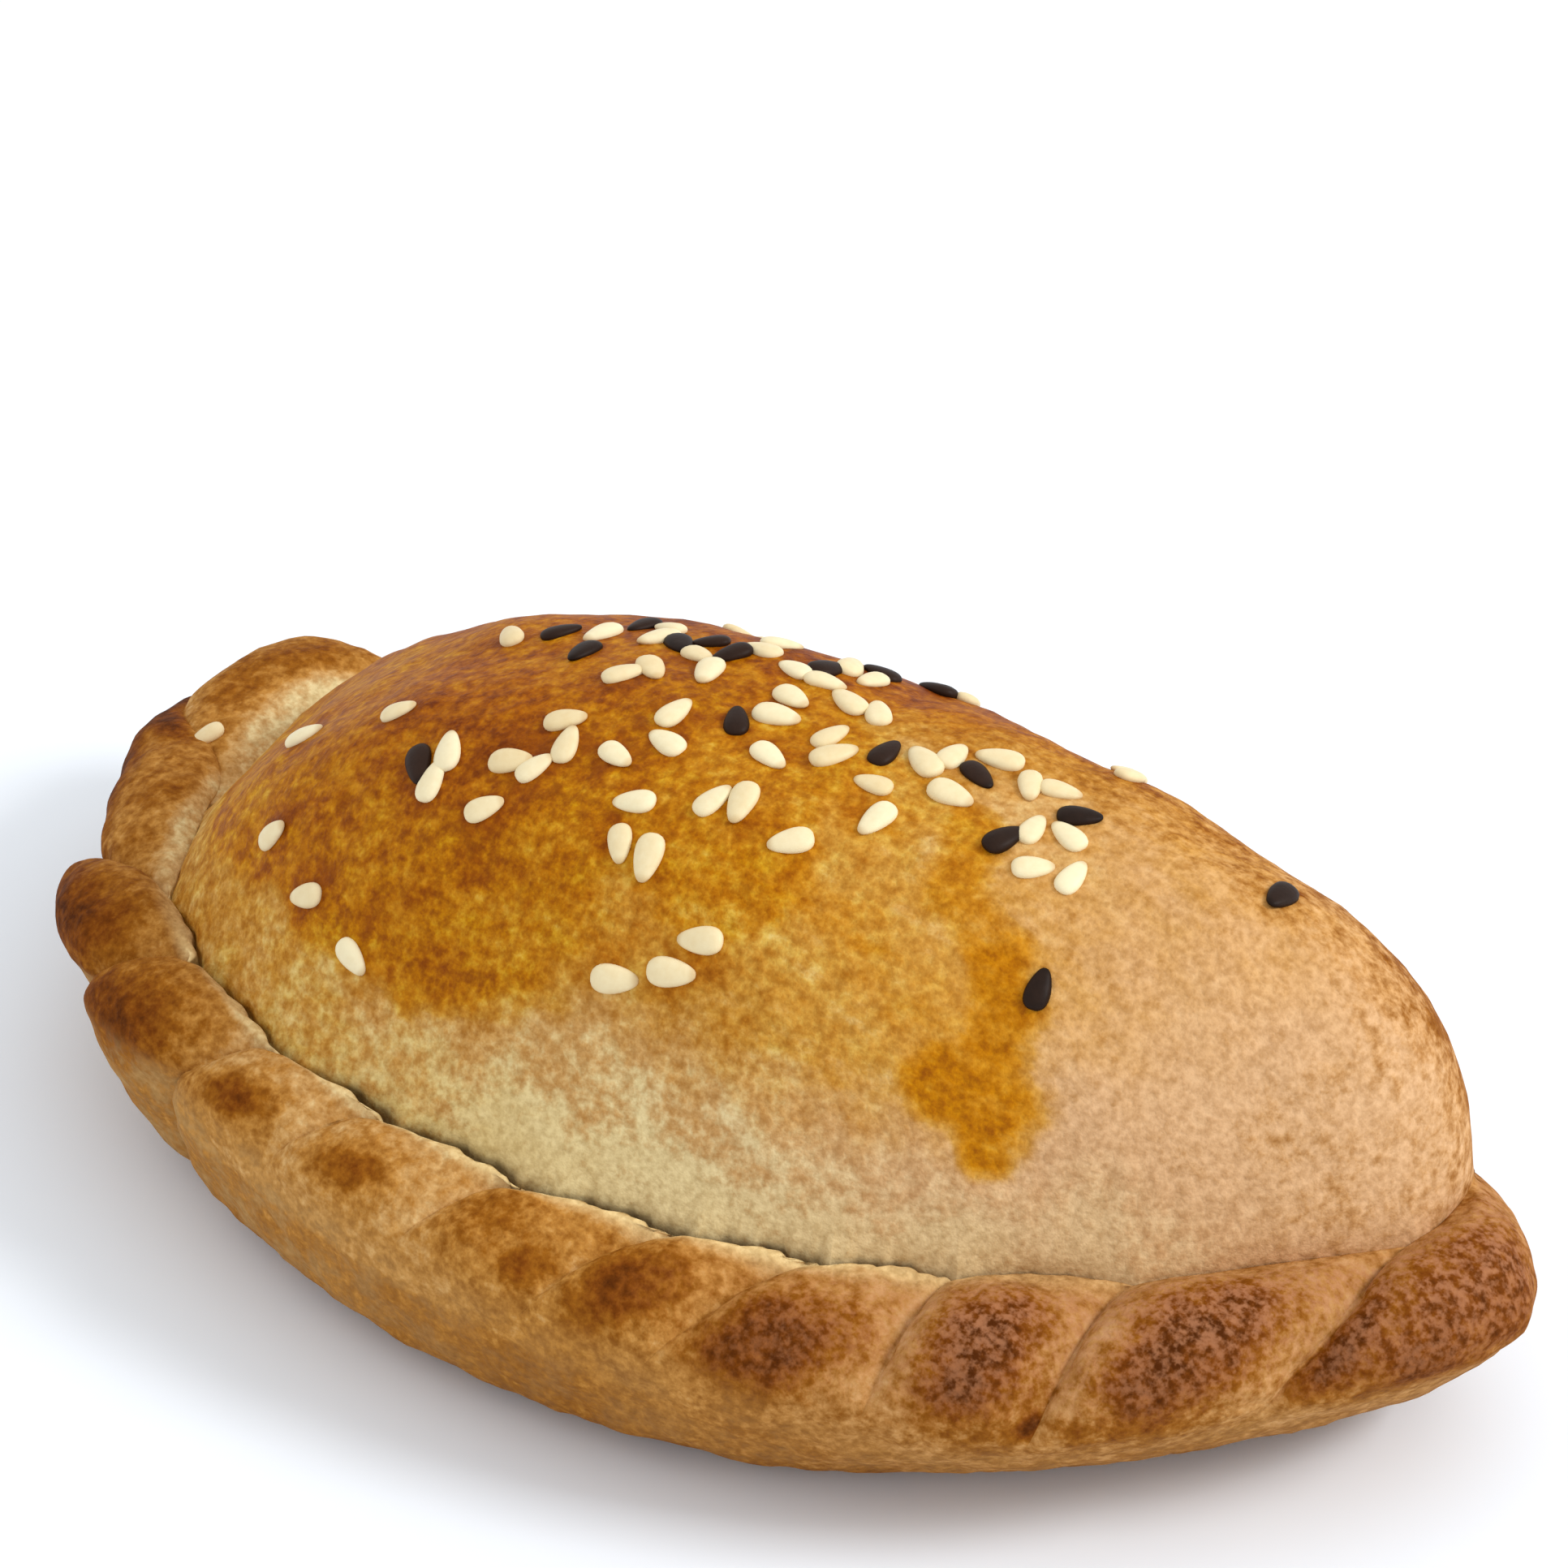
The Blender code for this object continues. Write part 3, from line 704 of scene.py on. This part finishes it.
# %% The wash
# Position along the seam, the height above it down to which the dome was brushed, and how
# thick the wash lies there.
WASH_EDGE = np.array((
    (4.5, 7.0, 0.9), (6.0, 3.0, 0.9), (7.4, 3.2, 0.95), (8.0, 4.6, 1.0), (8.4, 5.8, 1.0),
    (8.9, 6.8, 1.0), (9.2, 7.2, 1.0), (9.5, 6.6, 1.0), (9.75, 6.8, 1.0), (9.95, 8.2, 1.0),
    (10.12, 10.0, 0.95), (10.28, 12.0, 0.7), (10.45, 12.6, 0.42), (10.9, 12.0, 0.38),
    (11.3, 10.4, 0.40), (11.7, 10.4, 0.40), (12.1, 13.5, 0.32), (13.0, 17.0, 0.20),
    (14.0, 18.0, 0.20), (15.6, 18.0, 0.36), (16.6, 14.0, 0.8),
)).T
# Single strokes and drips: from, to, radius, thickness.
STROKES = (
    ((-6.0, -4.0, 37.6), (5.5, -5.8, 37.0), 5.2, 0.86),
    ((-9.0, 5.0, 40.0), (5.0, 3.5, 40.0), 6.0, 0.80),
    ((5.0, 3.5, 40.0), (12.0, 3.0, 39.6), 4.6, 0.56),
    ((17.5, 4.7, 39.3), (19.2, -0.2, 37.6), 1.9, 0.76),
    ((19.2, -0.2, 37.6), (23.6, -2.0, 35.4), 1.9, 0.66),
    ((23.6, -2.0, 35.4), (25.9, -4.4, 32.5), 2.1, 0.84),
    ((25.9, -4.4, 32.5), (26.0, -6.0, 29.8), 2.3, 0.88),
    ((23.6, -8.4, 28.6), (27.4, -7.2, 27.2), 2.4, 1.00),
    ((26.8, -7.4, 27.2), (27.2, -8.5, 24.6), 1.6, 1.00),
    ((13.5, -5.4, 36.2), (16.8, -6.0, 34.4), 2.6, 0.56),
    ((20.5, -6.4, 32.4), (23.0, -7.0, 30.8), 2.8, 0.50),
)
TRACE, TRACED = 0.32, (6.4, 8.2, 8.8, 10.9)     # a thin trace down to the crack
WANDER, FINE_WANDER = 0.7, 0.4         # how far the edges wander, in broad and in small waves
SHARP_EDGE, SOFTER = 1.5, 5.0          # width of a thick edge, and how much a thin one gains
STROKE_FULL, STROKE_END = 0.5, 1.7     # a stroke thins out between these shares of its radius
STROKE_WANDER = 0.32


def distance_to(points, start, end):
    """Distance to a straight stroke: to the nearest point of the segment."""
    start, end = np.array(start), np.array(end)
    share = np.clip(((points - start) @ (end - start)) / ((end - start) @ (end - start)), 0, 1)
    return np.linalg.norm(points - start - share[..., None] * (end - start), axis=-1)


def washed():
    """Thickness of the wash above the brushed edge and within the strokes. Where it is
    thick its edge is sharp; where it was brushed out thin the edge is soft and wanders.
    A trace of it ran down to the crack along the front."""
    edge, thick = (np.interp(position, WASH_EDGE[0], values, period=ROUND_TRIP)
                   for values in WASH_EDGE[1:])
    wander = WANDER * ripple(skin, 7.0, 21) + FINE_WANDER * ripple(skin, 2.6, 22)
    soft = SHARP_EDGE + SOFTER * (1 - thick)
    coat = thick * ease(-soft, soft, height - edge + wander * (2 - thick))
    coat = np.maximum(coat, TRACE * between(*TRACED, position))
    for start, end, radius, depth in STROKES:
        far = distance_to(skin, start, end) / radius + STROKE_WANDER * wander
        coat = np.maximum(coat, depth * ease(STROKE_END, STROKE_FULL, far))
    return coat * to_dome


wash = washed()
print("brushed share of the dome:", wash[:, :DOME_ROWS].mean().round(2))

# %% [markdown]
# ## Blush, blisters with a painted sheen, and bloom
# Smaller masks finish the dough. Where it is bare at the right it turns a dull rose and
# not gold, and the rope's skin blisters there, under a painted sheen that is stronger
# towards the rope's top. The underside has a pale bloom from the floured tray, the crack
# is painted with shade, and a light lip lies where the dough tore. They could be
# materials of their own, but each would then end at an edge, and dough has none.

# %% Store the masks
# The blister mask is partly blisters and partly a painted sheen, which grows towards the rope's
# top.
BLISTER_SHEEN_LOW, BLISTER_SHEEN_HIGH = 0.75, 0.45           # from low on the rope, and more near its top
BLOOM_FRONT = 0.36          # share of the bloom that is left towards the right
# The crack's dark is painted shade, spread over the rows beside its bottom.
CRACK_ROWS = 1.4            # how many rows the dark of the crack spreads over


def store(mesh, name, values):
    """One number for each point of the mesh, as an attribute."""
    layer = mesh.attributes.new(name, "FLOAT", "POINT")
    layer.data.foreach_set("value", values.astype(np.float32))


def store_mask(name, mask):
    """A mask of the crust. The two closing points take the mean of the rings beside them."""
    store(crust_mesh, name, np.append(mask.ravel(), (mask[:, 0].mean(), mask[:, -1].mean())))
    print("mask", name, "from", mask.min().round(2), "to", mask.max().round(2))


lip = np.zeros((COLUMNS, ROWS))
lip[:, FIRST_ROPE_ROW:FIRST_HULL_ROW] = ease(105, 160, ROPE_ANGLE) * np.clip(OPENED, 0, 1)
to_right = ease(6.0, 34.0, skin[..., 0])
blush = to_right * (1 - 0.5 * floured * to_dome) * (0.45 + 0.55 * to_dome)
# Blisters on the rope's right end, with a painted sheen that is stronger higher up.
blister = to_right * ease(FIRST_ROPE_ROW + 4, FIRST_ROPE_ROW + 18, row)
blister *= (BLISTER_SHEEN_LOW * ease(10.5, 15.5, skin[..., 2])
            + BLISTER_SHEEN_HIGH * ease(15.0, 18.0, skin[..., 2]))
bloom = ease(FIRST_HULL_ROW - 14, FIRST_HULL_ROW - 2, row) * ease(1.0, 5.0, skin[..., 2])
bloom *= BLOOM_FRONT + (1 - BLOOM_FRONT) * ease(10.6, 9.2, position)
store_mask("bake", bake)
store_mask("wash", wash)
store_mask("lip", lip)
# The crack mask is painted shade: darker where the crack is open wider and deeper.
store_mask("crack", np.exp(-((row - DOME_ROWS) / CRACK_ROWS) ** 2) * np.clip(OPENED, 0, 1.3))
store_mask("blush", blush)
store_mask("blister", blister)
store_mask("bloom", bloom)

# %% [markdown]
# ## Writing materials as sums
# Node trees are hard to read once they pass a dozen nodes. Here a socket is wrapped in a
# small class whose plus, minus and times add Math nodes, so a mask can be written the
# way one would say it. Any other node comes from one method, with its settings first.

# %% Sockets that can be added and multiplied
class Value:
    """A number socket. Arithmetic on it adds Math nodes to its material."""

    def __init__(self, recipe, socket):
        self.recipe = recipe
        self.socket = socket

    def math(self, operation, *numbers):
        """A Math node on numbers or sockets."""
        values = dict(enumerate(numbers))
        return self.recipe.node("ShaderNodeMath", {"operation": operation}, values)

    def __add__(self, other):
        return self.math("ADD", self, other)

    def __mul__(self, other):
        return self.math("MULTIPLY", self, other)

    def __sub__(self, other):
        return self.math("SUBTRACT", self, other)

    def __rsub__(self, other):
        return self.math("SUBTRACT", other, self)

    __radd__ = __add__
    __rmul__ = __mul__


print("a socket's value can now be added, subtracted and multiplied")

# %% A material as a recipe
class Recipe:
    """A material and its nodes."""

    def __init__(self, name):
        self.material = bpy.data.materials.new(name)
        self.material.use_nodes = True
        self.nodes = self.material.node_tree.nodes
        self.links = self.material.node_tree.links
        self.shader = self.nodes["Principled BSDF"]

    def feed(self, socket, value):
        """Set a socket to a plain value, or link it to another socket's value."""
        if isinstance(value, Value):
            self.links.new(value.socket, socket)
        else:
            socket.default_value = value

    def node(self, kind, settings, values, output=0):
        """A node of that type: its settings first, then the values of its sockets."""
        made = self.nodes.new(kind)
        for name, setting in settings.items():
            if name == "stops":
                self.set_stops(made.color_ramp, setting)
            else:
                setattr(made, name, setting)
        for name, value in values.items():
            self.feed(made.inputs[name], value)
        return Value(self, made.outputs[output])

    def set_stops(self, scale, stops):
        """A colour scale's stops, each a place from 0 to 1 and a colour."""
        while len(scale.elements) < len(stops):
            scale.elements.new(1.0)
        for element, (place, colour) in zip(scale.elements, stops):
            element.position = place
            element.color = colour

    def scale(self, value, stops):
        """The colour at that value on a scale."""
        return self.node("ShaderNodeValToRGB", {"stops": stops}, {"Fac": value})

    def place(self):
        """Where a point lies on the piece, which doesn't change when the piece moves."""
        return self.node("ShaderNodeTexCoord", {}, {}, "Object")

    def stretched(self, place, scale):
        """The place with each of its three numbers multiplied, to draw out a noise."""
        settings = {"operation": "MULTIPLY"}
        return self.node("ShaderNodeVectorMath", settings, {0: place, 1: scale})

    def mask(self, name):
        """The numbers stored on the mesh under that name."""
        return self.node("ShaderNodeAttribute", {"attribute_name": name}, {}, "Fac")

    def noise(self, place, size, detail=2.0, roughness=0.55):
        """Noise with features of that size in millimetres, about 0.3 to 0.7."""
        values = {"Vector": place, "Scale": 1 / (size * MM), "Detail": detail,
                  "Roughness": roughness}
        return self.node("ShaderNodeTexNoise", {}, values, "Fac")

    def step(self, low, high, value):
        """0 below low, 1 above high, smooth between."""
        settings = {"interpolation_type": "SMOOTHSTEP"}
        values = {"Value": value, "From Min": low, "From Max": high}
        return self.node("ShaderNodeMapRange", settings, values)

    def blend(self, amount, under, over, way="MIX"):
        """One colour laid over another, by that amount."""
        settings = {"data_type": "RGBA", "blend_type": way, "clamp_factor": True}
        return self.node("ShaderNodeMix", settings, {0: amount, 6: under, 7: over}, 2)

    def bump(self, height, strength, depth):
        """Fine relief in the shading alone, of that depth in millimetres."""
        values = {"Strength": strength, "Distance": depth * MM, "Height": height}
        return self.node("ShaderNodeBump", {}, values, "Normal")

    def finish(self, constants, varying):
        """Constants go straight onto the shader's sockets, varying values are linked."""
        for name, value in {**constants, **varying}.items():
            self.feed(self.shader.inputs[name], value)
        print("material", self.material.name, "has", len(self.nodes), "nodes")
        return self.material


def shade(red, green, blue):
    """A colour as seen on a screen, 0 to 255, as the linear colour a shader needs."""
    seen = np.array((red, green, blue)) / 255
    linear = np.where(seen <= 0.04045, seen / 12.92, ((seen + 0.055) / 1.055) ** 2.4)
    return (*linear.tolist(), 1.0)


print("a mid grey for the shader:", round(shade(128, 128, 128)[0], 3))

# %% [markdown]
# ## The crust's finish
# Dough browns along one path, from floury cream through tan and gold to dark brown, so
# one colour scale read by the bake mask gives every part of the crust its tone, and the
# parts match where they meet. Freckles are what makes a crust look baked and not
# painted: noise of several sizes shifts the level up and down, so that a browned place
# breaks up at its edge into specks. Raised grains brown first, so the same noise that
# lifts a grain in the bump also darkens it. The egg wash is a clear amber film. Light
# crosses it twice and loses its blue first, then its green, so the film multiplies the
# dough by a colour that goes from white to amber as the film gets thicker.

# %% The tones of dough and film
BAKE_SCALE = (
    (0.00, shade(222, 202, 152)),
    (0.20, shade(206, 164, 106)),
    (0.40, shade(186, 132, 62)),
    (0.60, shade(152, 94, 24)),
    (0.80, shade(124, 66, 12)),
    (1.00, shade(86, 42, 6)),
)
BLUSH_ROSE = shade(213, 171, 129)
# The blister tone is partly the blisters' colour and partly a painted sheen.
BLISTER_AND_SHEEN_TONE = shade(168, 116, 84)
BLOOM_TAN = shade(188, 148, 92)
FILM_SCALE = (
    (0.00, (1.0, 1.0, 1.0, 1)),
    (0.28, (0.93, 0.78, 0.30, 1)),
    (0.56, (0.86, 0.60, 0.07, 1)),
    (0.80, (0.76, 0.46, 0.004, 1)),
    (1.00, (0.60, 0.32, 0.002, 1)),
)
# The crack's colour is painted shade; the lip's pale is the torn dough's own colour.
CRACK_PAINTED_SHADE, LIP_PALE = shade(92, 66, 34), shade(240, 214, 158)
SPECK_DARK, SPECK_LIGHT = (0.72, 0.65, 0.55, 1), (1.06, 1.06, 1.05, 1)
print("tones of dough and film:", len(BAKE_SCALE), "and", len(FILM_SCALE))

# %% Crust material
GRAIN_SHIFT, PATCH_SHIFT, CLOUD_SHIFT = 0.62, 0.40, 0.24    # how far noise moves the level
POOL_SHIFT = 0.14           # and how far a pool of wash does
FILM_THIN = 0.30            # taken off the film, so that it thins out between the grains


def crust_material():
    """Dough coloured by how far it is baked, then egg wash, then crack and grain."""
    r = Recipe("baked crust")
    place = r.place()
    fine = r.noise(place, 0.5, 2.0)
    grain = r.noise(place, 0.95, 3.0, 0.65)
    patch = r.noise(place, 3.4, 2.0)
    cloud = r.noise(place, 9.0, 2.0)

    pool = r.mask("pool") * r.step(0.38, 0.60, patch)
    level = r.mask("bake") + (grain - 0.5) * GRAIN_SHIFT + (patch - 0.5) * PATCH_SHIFT
    level = level + (cloud - 0.5) * CLOUD_SHIFT + pool * POOL_SHIFT
    dough = r.scale(level, BAKE_SCALE)
    blushing = r.mask("blush") * r.step(0.66, 0.22, level)
    dough = r.blend(blushing * 0.92, dough, BLUSH_ROSE)
    # Blister specks, partly a painted sheen on the upper side of the twists.
    blisters_and_sheen = r.mask("blister") * r.step(0.60, 0.40, grain * 0.35 + fine * 0.65)
    dough = r.blend(blisters_and_sheen * 0.6, dough, BLISTER_AND_SHEEN_TONE)
    bloom = r.mask("bloom") * r.step(0.38, 0.62, patch * 0.5 + grain * 0.5)
    dough = r.blend(bloom, dough, BLOOM_TAN)
    dough = r.blend(r.mask("lip") * r.step(0.25, 0.48, patch) * 0.9, dough, LIP_PALE)

    streak = r.noise(r.stretched(place, (0.35, 1.0, 1.0)), 1.6, 3.0, 0.65)
    body = grain * 0.8 + streak * 1.0 + cloud * 0.4 + pool * 0.4 - FILM_THIN
    film = r.mask("wash") * body
    glazed = r.blend(1.0, dough, r.scale(film, FILM_SCALE), "MULTIPLY")
    # Painted shade laid into the crack.
    colour = r.blend(r.mask("crack") * 0.85, glazed, CRACK_PAINTED_SHADE)
    speck = r.blend(r.step(0.30, 0.70, grain * 0.5 + fine * 0.5), SPECK_LIGHT, SPECK_DARK)
    colour = r.blend(1.0, colour, speck, "MULTIPLY")

    constants = {"IOR": 1.45, "Specular IOR Level": 0.05, "Coat Roughness": 0.35}
    varying = {"Base Color": colour, "Roughness": 0.7 - film * 0.2,
               "Coat Weight": film * 0.05, "Normal": r.bump(grain * 0.6 + fine * 0.4, 0.55, 0.4)}
    return r.finish(constants, varying)


crust_mesh.materials.append(crust_material())

# %% [markdown]
# ## Sesame
# The seeds were pinched from a bowl, so they lie in small groups, thick on the ridge and
# thin down the front. Scattering by particles would be quick but leaves nothing in the
# exported mesh. Each seed is a real little teardrop instead, dropped onto the crust by a
# ray, and all of one colour are one piece. The same seeded draw placed the solid's seeds.

# %% Where the seeds fall
SEED_SIZE = (3.2, 1.8, 0.95)  # length, width and thickness
SEED_TAPER = 0.3            # the pointed end is this much slimmer, the other as much fuller
SEED_VARIETY = 0.12         # share by which a seed is larger or smaller
SEED_SPACING = 1.9          # least distance between the middles of two seeds
PINCH_SPREAD = 0.9          # radius of a pinch of one seed; it grows with the number's root
TRIES, WIDENING = 60, 20    # draws for a seed, and how many of them double the radius
RANDOM_SEED = 7             # of the draw, so that the seeds fall the same every time
PINCHES = (                 # x, y, pale seeds, black seeds
    (-52, 8.5, 1, 0), (-34.5, -0.5, 1, 0), (-26.5, -1.5, 1, 0), (-30.5, -9.5, 1, 0),
    (-25, -12, 1, 0), (-20, -15, 1, 0), (-19.5, -5, 2, 1), (-13, -4.5, 2, 0),
    (-14.5, -8, 1, 0), (-11.5, -1, 2, 0), (-6.5, -2.5, 1, 0), (-6, 2.5, 2, 0),
    (-2, 4.5, 0, 1), (0, 7, 2, 0), (1.5, 3, 1, 0), (4.5, 6, 2, 0), (4.5, 11, 2, 0),
    (8.5, 7.5, 0, 1), (12.5, 8.5, 2, 0), (10.5, 4, 1, 0), (15, 6, 1, 0), (11.5, 1, 1, 0),
    (15.5, 10.5, 1, 1), (19.5, 10.5, 2, 0), (2.5, -2.5, 2, 0), (-3.5, -4.5, 1, 0),
    (7.5, -3, 1, 0), (-1.5, -8, 2, 0), (5, -11, 2, 0), (1.5, -12.5, 1, 0),
    (22, 7, 2, 0), (23.3, 4, 2, 0), (20.8, 4.5, 0, 1), (22.2, 9.5, 0, 1), (27, -2, 0, 1),
    (37, 13, 0, 1), (-24, 10, 1, 0), (-18, 11, 1, 0), (-11.5, 6.5, 2, 0), (-6, 8.5, 1, 0),
    (-12.5, 12, 1, 0), (-5.5, 15, 2, 0), (-16, 7.5, 0, 1), (-20.5, 10.5, 0, 1),
    (-9.5, 13, 0, 1), (-6.5, 12, 0, 1), (-1, 12, 2, 1), (-9.5, 9.5, 1, 1), (1, 15.5, 2, 1),
    (-15, 14.5, 1, 1), (6, 21, 2, 1), (-12, 21, 2, 1), (21, 18, 2, 0),
)


def seed_spots():
    """Plan places of the seeds, drawn pinch by pinch: x, y, heading, size and whether the
    seed is black. One that would lie on another is drawn again, a little further out."""
    draw = random.Random(RANDOM_SEED)
    spots = []
    for x, y, pale, black in PINCHES:
        spread = PINCH_SPREAD * math.sqrt(pale + black)
        for number in range(pale + black):
            for attempt in range(TRIES):
                turn = draw.uniform(0, math.tau)
                far = spread * math.sqrt(draw.random()) * (1 + attempt / WIDENING)
                spot = (x + far * math.cos(turn), y + far * math.sin(turn))
                if all(math.dist(spot, other[:2]) > SEED_SPACING for other in spots):
                    break
            heading = draw.uniform(0, math.tau)
            size = 1 + SEED_VARIETY * draw.uniform(-1, 1)
            spots.append((*spot, heading, size, number >= pale))
    return spots


spots = seed_spots()
print("seeds:", len(spots), "of which black:", sum(spot[4] for spot in spots))

# %% [markdown]
# ## One seed, and all of them
# A sesame seed is a flat teardrop. A squashed ball would lack its point, and a modelled one
# is costly eighty times over, so a short formula shapes a grid of 14 sides. A ray from
# above finds where each seed lands and which way the crust faces there.

# %% The form of a seed
def seed_form(rings=14, sides=14):
    """One seed along X: x runs as a cosine, the width as a sine to the power 0.8 that
    shrinks towards the point, and the section is a flattened superellipse."""
    length, width, thickness = SEED_SIZE
    v = (np.arange(1, rings) / rings * math.pi)[None, :]
    u = (np.arange(sides) / sides * math.tau)[:, None]
    ahead = np.cos(v) + 0 * u
    slim = np.sin(v) ** 0.8 * (1 - SEED_TAPER * np.cos(v))
    side = np.sign(np.cos(u)) * np.abs(np.cos(u)) ** 0.9 * slim
    lift = np.sign(np.sin(u)) * np.abs(np.sin(u)) ** 0.9 * slim
    return np.stack((ahead * length / 2, side * width / 2, lift * thickness / 2), axis=-1)


print("points of a seed, without its ends:", seed_form()[..., 0].size)

# %% Drop the seeds and join each kind
SEED_LIFT = 0.10            # height of a seed's middle above the crust

surface = BVHTree.FromPolygons(crust_points.tolist(), crust_faces)


def lie_flat(x, y, heading, size):
    """Place and turn of a seed that lies flat where a ray from above meets the crust."""
    landing, normal, _, _ = surface.ray_cast(Vector((x * MM, y * MM, 0.1)), Vector((0, 0, -1)))
    ahead = Vector((math.cos(heading), math.sin(heading), 0))
    ahead = (ahead - normal * ahead.dot(normal)).normalized()
    turned = Matrix((ahead, normal.cross(ahead), normal)).transposed().to_4x4()
    middle = Matrix.Translation(landing + normal * SEED_LIFT * MM)
    return np.array(middle @ turned @ Matrix.Scale(size, 4))


def seed_piece(name, spots, seed):
    """All seeds of one kind as one mesh, each with its own tone as an attribute."""
    draw = np.random.default_rng(seed)
    form = seed_form()
    quads, fans = closed_faces(*form.shape[:2])
    tip = SEED_SIZE[0] / 2
    local = np.concatenate((form.reshape(-1, 3), [(tip, 0, 0), (-tip, 0, 0)])) * MM
    points, faces, tones = [], [], []
    for number, spot in enumerate(spots):
        place = lie_flat(*spot[:4])
        points.append(local @ place[:3, :3].T + place[:3, 3])
        start = number * len(local)
        faces += (quads + start).tolist() + (fans + start).tolist()
        tones.append(np.full(len(local), draw.uniform(0, 1)))
    mesh = smooth_mesh(name, np.concatenate(points), faces)
    store(mesh, "tone", np.concatenate(tones))
    store(mesh, "ahead", np.tile(local[:, 0] / (tip * MM), len(spots)))
    piece = add_piece(name, mesh)
    print(name, "has", len(spots), "seeds and", len(faces), "faces")
    return piece


pale_seeds = seed_piece("pale_sesame", [s for s in spots if not s[4]], 31)
black_seeds = seed_piece("black_sesame", [s for s in spots if s[4]], 32)

# %% [markdown]
# ## Pools of wash
# The wet egg crept up against the seeds and dried there as a darker ring. It is one more
# mask: the nearer a point lies to a seed, the higher it is.

# %% Where the wash pooled
POOL_REACH = 1.9            # from the middle of a seed

pool = np.zeros((COLUMNS, ROWS))
for x, y, *_ in spots:
    far = np.hypot(skin[..., 0] - x, skin[..., 1] - y) / POOL_REACH
    pool = np.maximum(pool, np.exp(-far ** 2) * to_dome)
store_mask("pool", pool)

# %% [markdown]
# ## The seeds' finish
# Hulled sesame is ivory and tan at its tip; black sesame keeps its hull, which is a very
# dark brown with a faint shine and a pebbled skin. One recipe serves both. A tone for each
# seed keeps it from looking like the next, where one plain colour would look like beads.

# %% Seed materials
def sesame_material(name, light, dark, tip, shine):
    """A tone between light and dark for each seed, darker at the tip, with fine bump."""
    r = Recipe(name)
    place = r.place()
    spread = r.noise(place, 0.6, 2.0)
    body = r.blend(r.mask("tone") * 0.7 + (spread - 0.5) * 0.6, light, dark)
    body = r.blend(r.step(0.62, 1.0, r.mask("ahead")) * 0.6, body, tip)
    constants = {"Roughness": 0.5, "Specular IOR Level": shine}
    return r.finish(constants, {"Base Color": body, "Normal": r.bump(spread, 0.25, 0.1)})


pale_seeds.data.materials.append(sesame_material(
    "pale sesame", shade(238, 225, 186), shade(220, 194, 142), shade(188, 150, 94), shine=0.3))
black_seeds.data.materials.append(sesame_material(
    "black sesame", shade(48, 30, 20), shade(26, 15, 9), shade(20, 11, 6), shine=0.12))

# %% [markdown]
# ## Floor and light
# A plain white floor and soft light keep the colours true. Three lamps would be usual, but
# each adds a highlight, and a crust has few. One large lamp high on the right and a little
# behind lets the shadow fall softly to the left and front, and a pale sky fills it.

# %% Floor
FLOOR_SIZE = 3.0            # metres
half = FLOOR_SIZE / 2
corners = [(-half, -half, 0), (half, -half, 0), (half, half, 0), (-half, half, 0)]
floor_mesh = bpy.data.meshes.new("floor")
floor_mesh.from_pydata(corners, [], [(0, 1, 2, 3)])
floor = add_object("floor", floor_mesh)
floor_mesh.materials.append(Recipe("white floor").finish(
    {"Base Color": shade(239, 245, 252), "Roughness": 0.9, "Specular IOR Level": 0.1}, {}))
print("floor, metres:", FLOOR_SIZE, "by", FLOOR_SIZE)

# %% Light
AIM = Vector((5.8, 0.8, 15.0)) * MM    # the point that light and camera are set round


def seen_from(azimuth, elevation):
    """Unit vector from the food towards that direction, azimuth 0 being in front."""
    a, e = math.radians(azimuth), math.radians(elevation)
    return Vector((math.sin(a) * math.cos(e), -math.cos(a) * math.cos(e), math.sin(e)))


def area_lamp(name, azimuth, elevation, distance, size, power):
    """A square lamp that faces the food. Sizes are in metres, power is in watts."""
    lamp = bpy.data.lights.new(name, "AREA")
    lamp.size = size
    lamp.energy = power
    holder = add_object(name, lamp)
    direction = seen_from(azimuth, elevation)
    holder.location = AIM + direction * distance
    holder.rotation_euler = direction.to_track_quat("Z", "Y").to_euler()


def pale_sky(strength):
    """An even white sky of that strength."""
    sky = bpy.data.worlds.new("pale sky")
    sky.use_nodes = True
    background = sky.node_tree.nodes["Background"]
    background.inputs["Color"].default_value = (1, 1, 1, 1)
    background.inputs["Strength"].default_value = strength
    return sky


area_lamp("key", azimuth=114, elevation=38, distance=1.0, size=0.3, power=5.2)
bpy.context.scene.world = pale_sky(0.97)
bpy.context.scene.view_settings.view_transform = "Standard"
print("lit by:", ", ".join(light.name for light in bpy.data.lights), "and a pale sky")

# %% [markdown]
# ## Camera
# A long lens from half a metre away keeps the proportions as one sees them in the hand. A
# Track To constraint could aim it, but two angles are enough and stay where they are put.

# %% Camera
LENS = 167.7                # for a sensor 36 mm wide
CAMERA_AWAY = 0.5           # metres
AZIMUTH, ELEVATION = 35, 38            # where it stands, in degrees
TILT, PAN = 35.684, 35.113             # where it looks: below level, and round from the front

camera_data = bpy.data.cameras.new("camera")
camera_data.lens = LENS
camera_data.clip_start = 0.01
camera_data.clip_end = 20.0
camera = add_object("camera", camera_data)
camera.location = AIM + seen_from(AZIMUTH, ELEVATION) * CAMERA_AWAY
camera.rotation_euler = Euler((math.radians(90 - TILT), 0, math.radians(PAN)))
bpy.context.scene.camera = camera
print("camera at, mm:", [round(c / MM, 1) for c in camera.location])
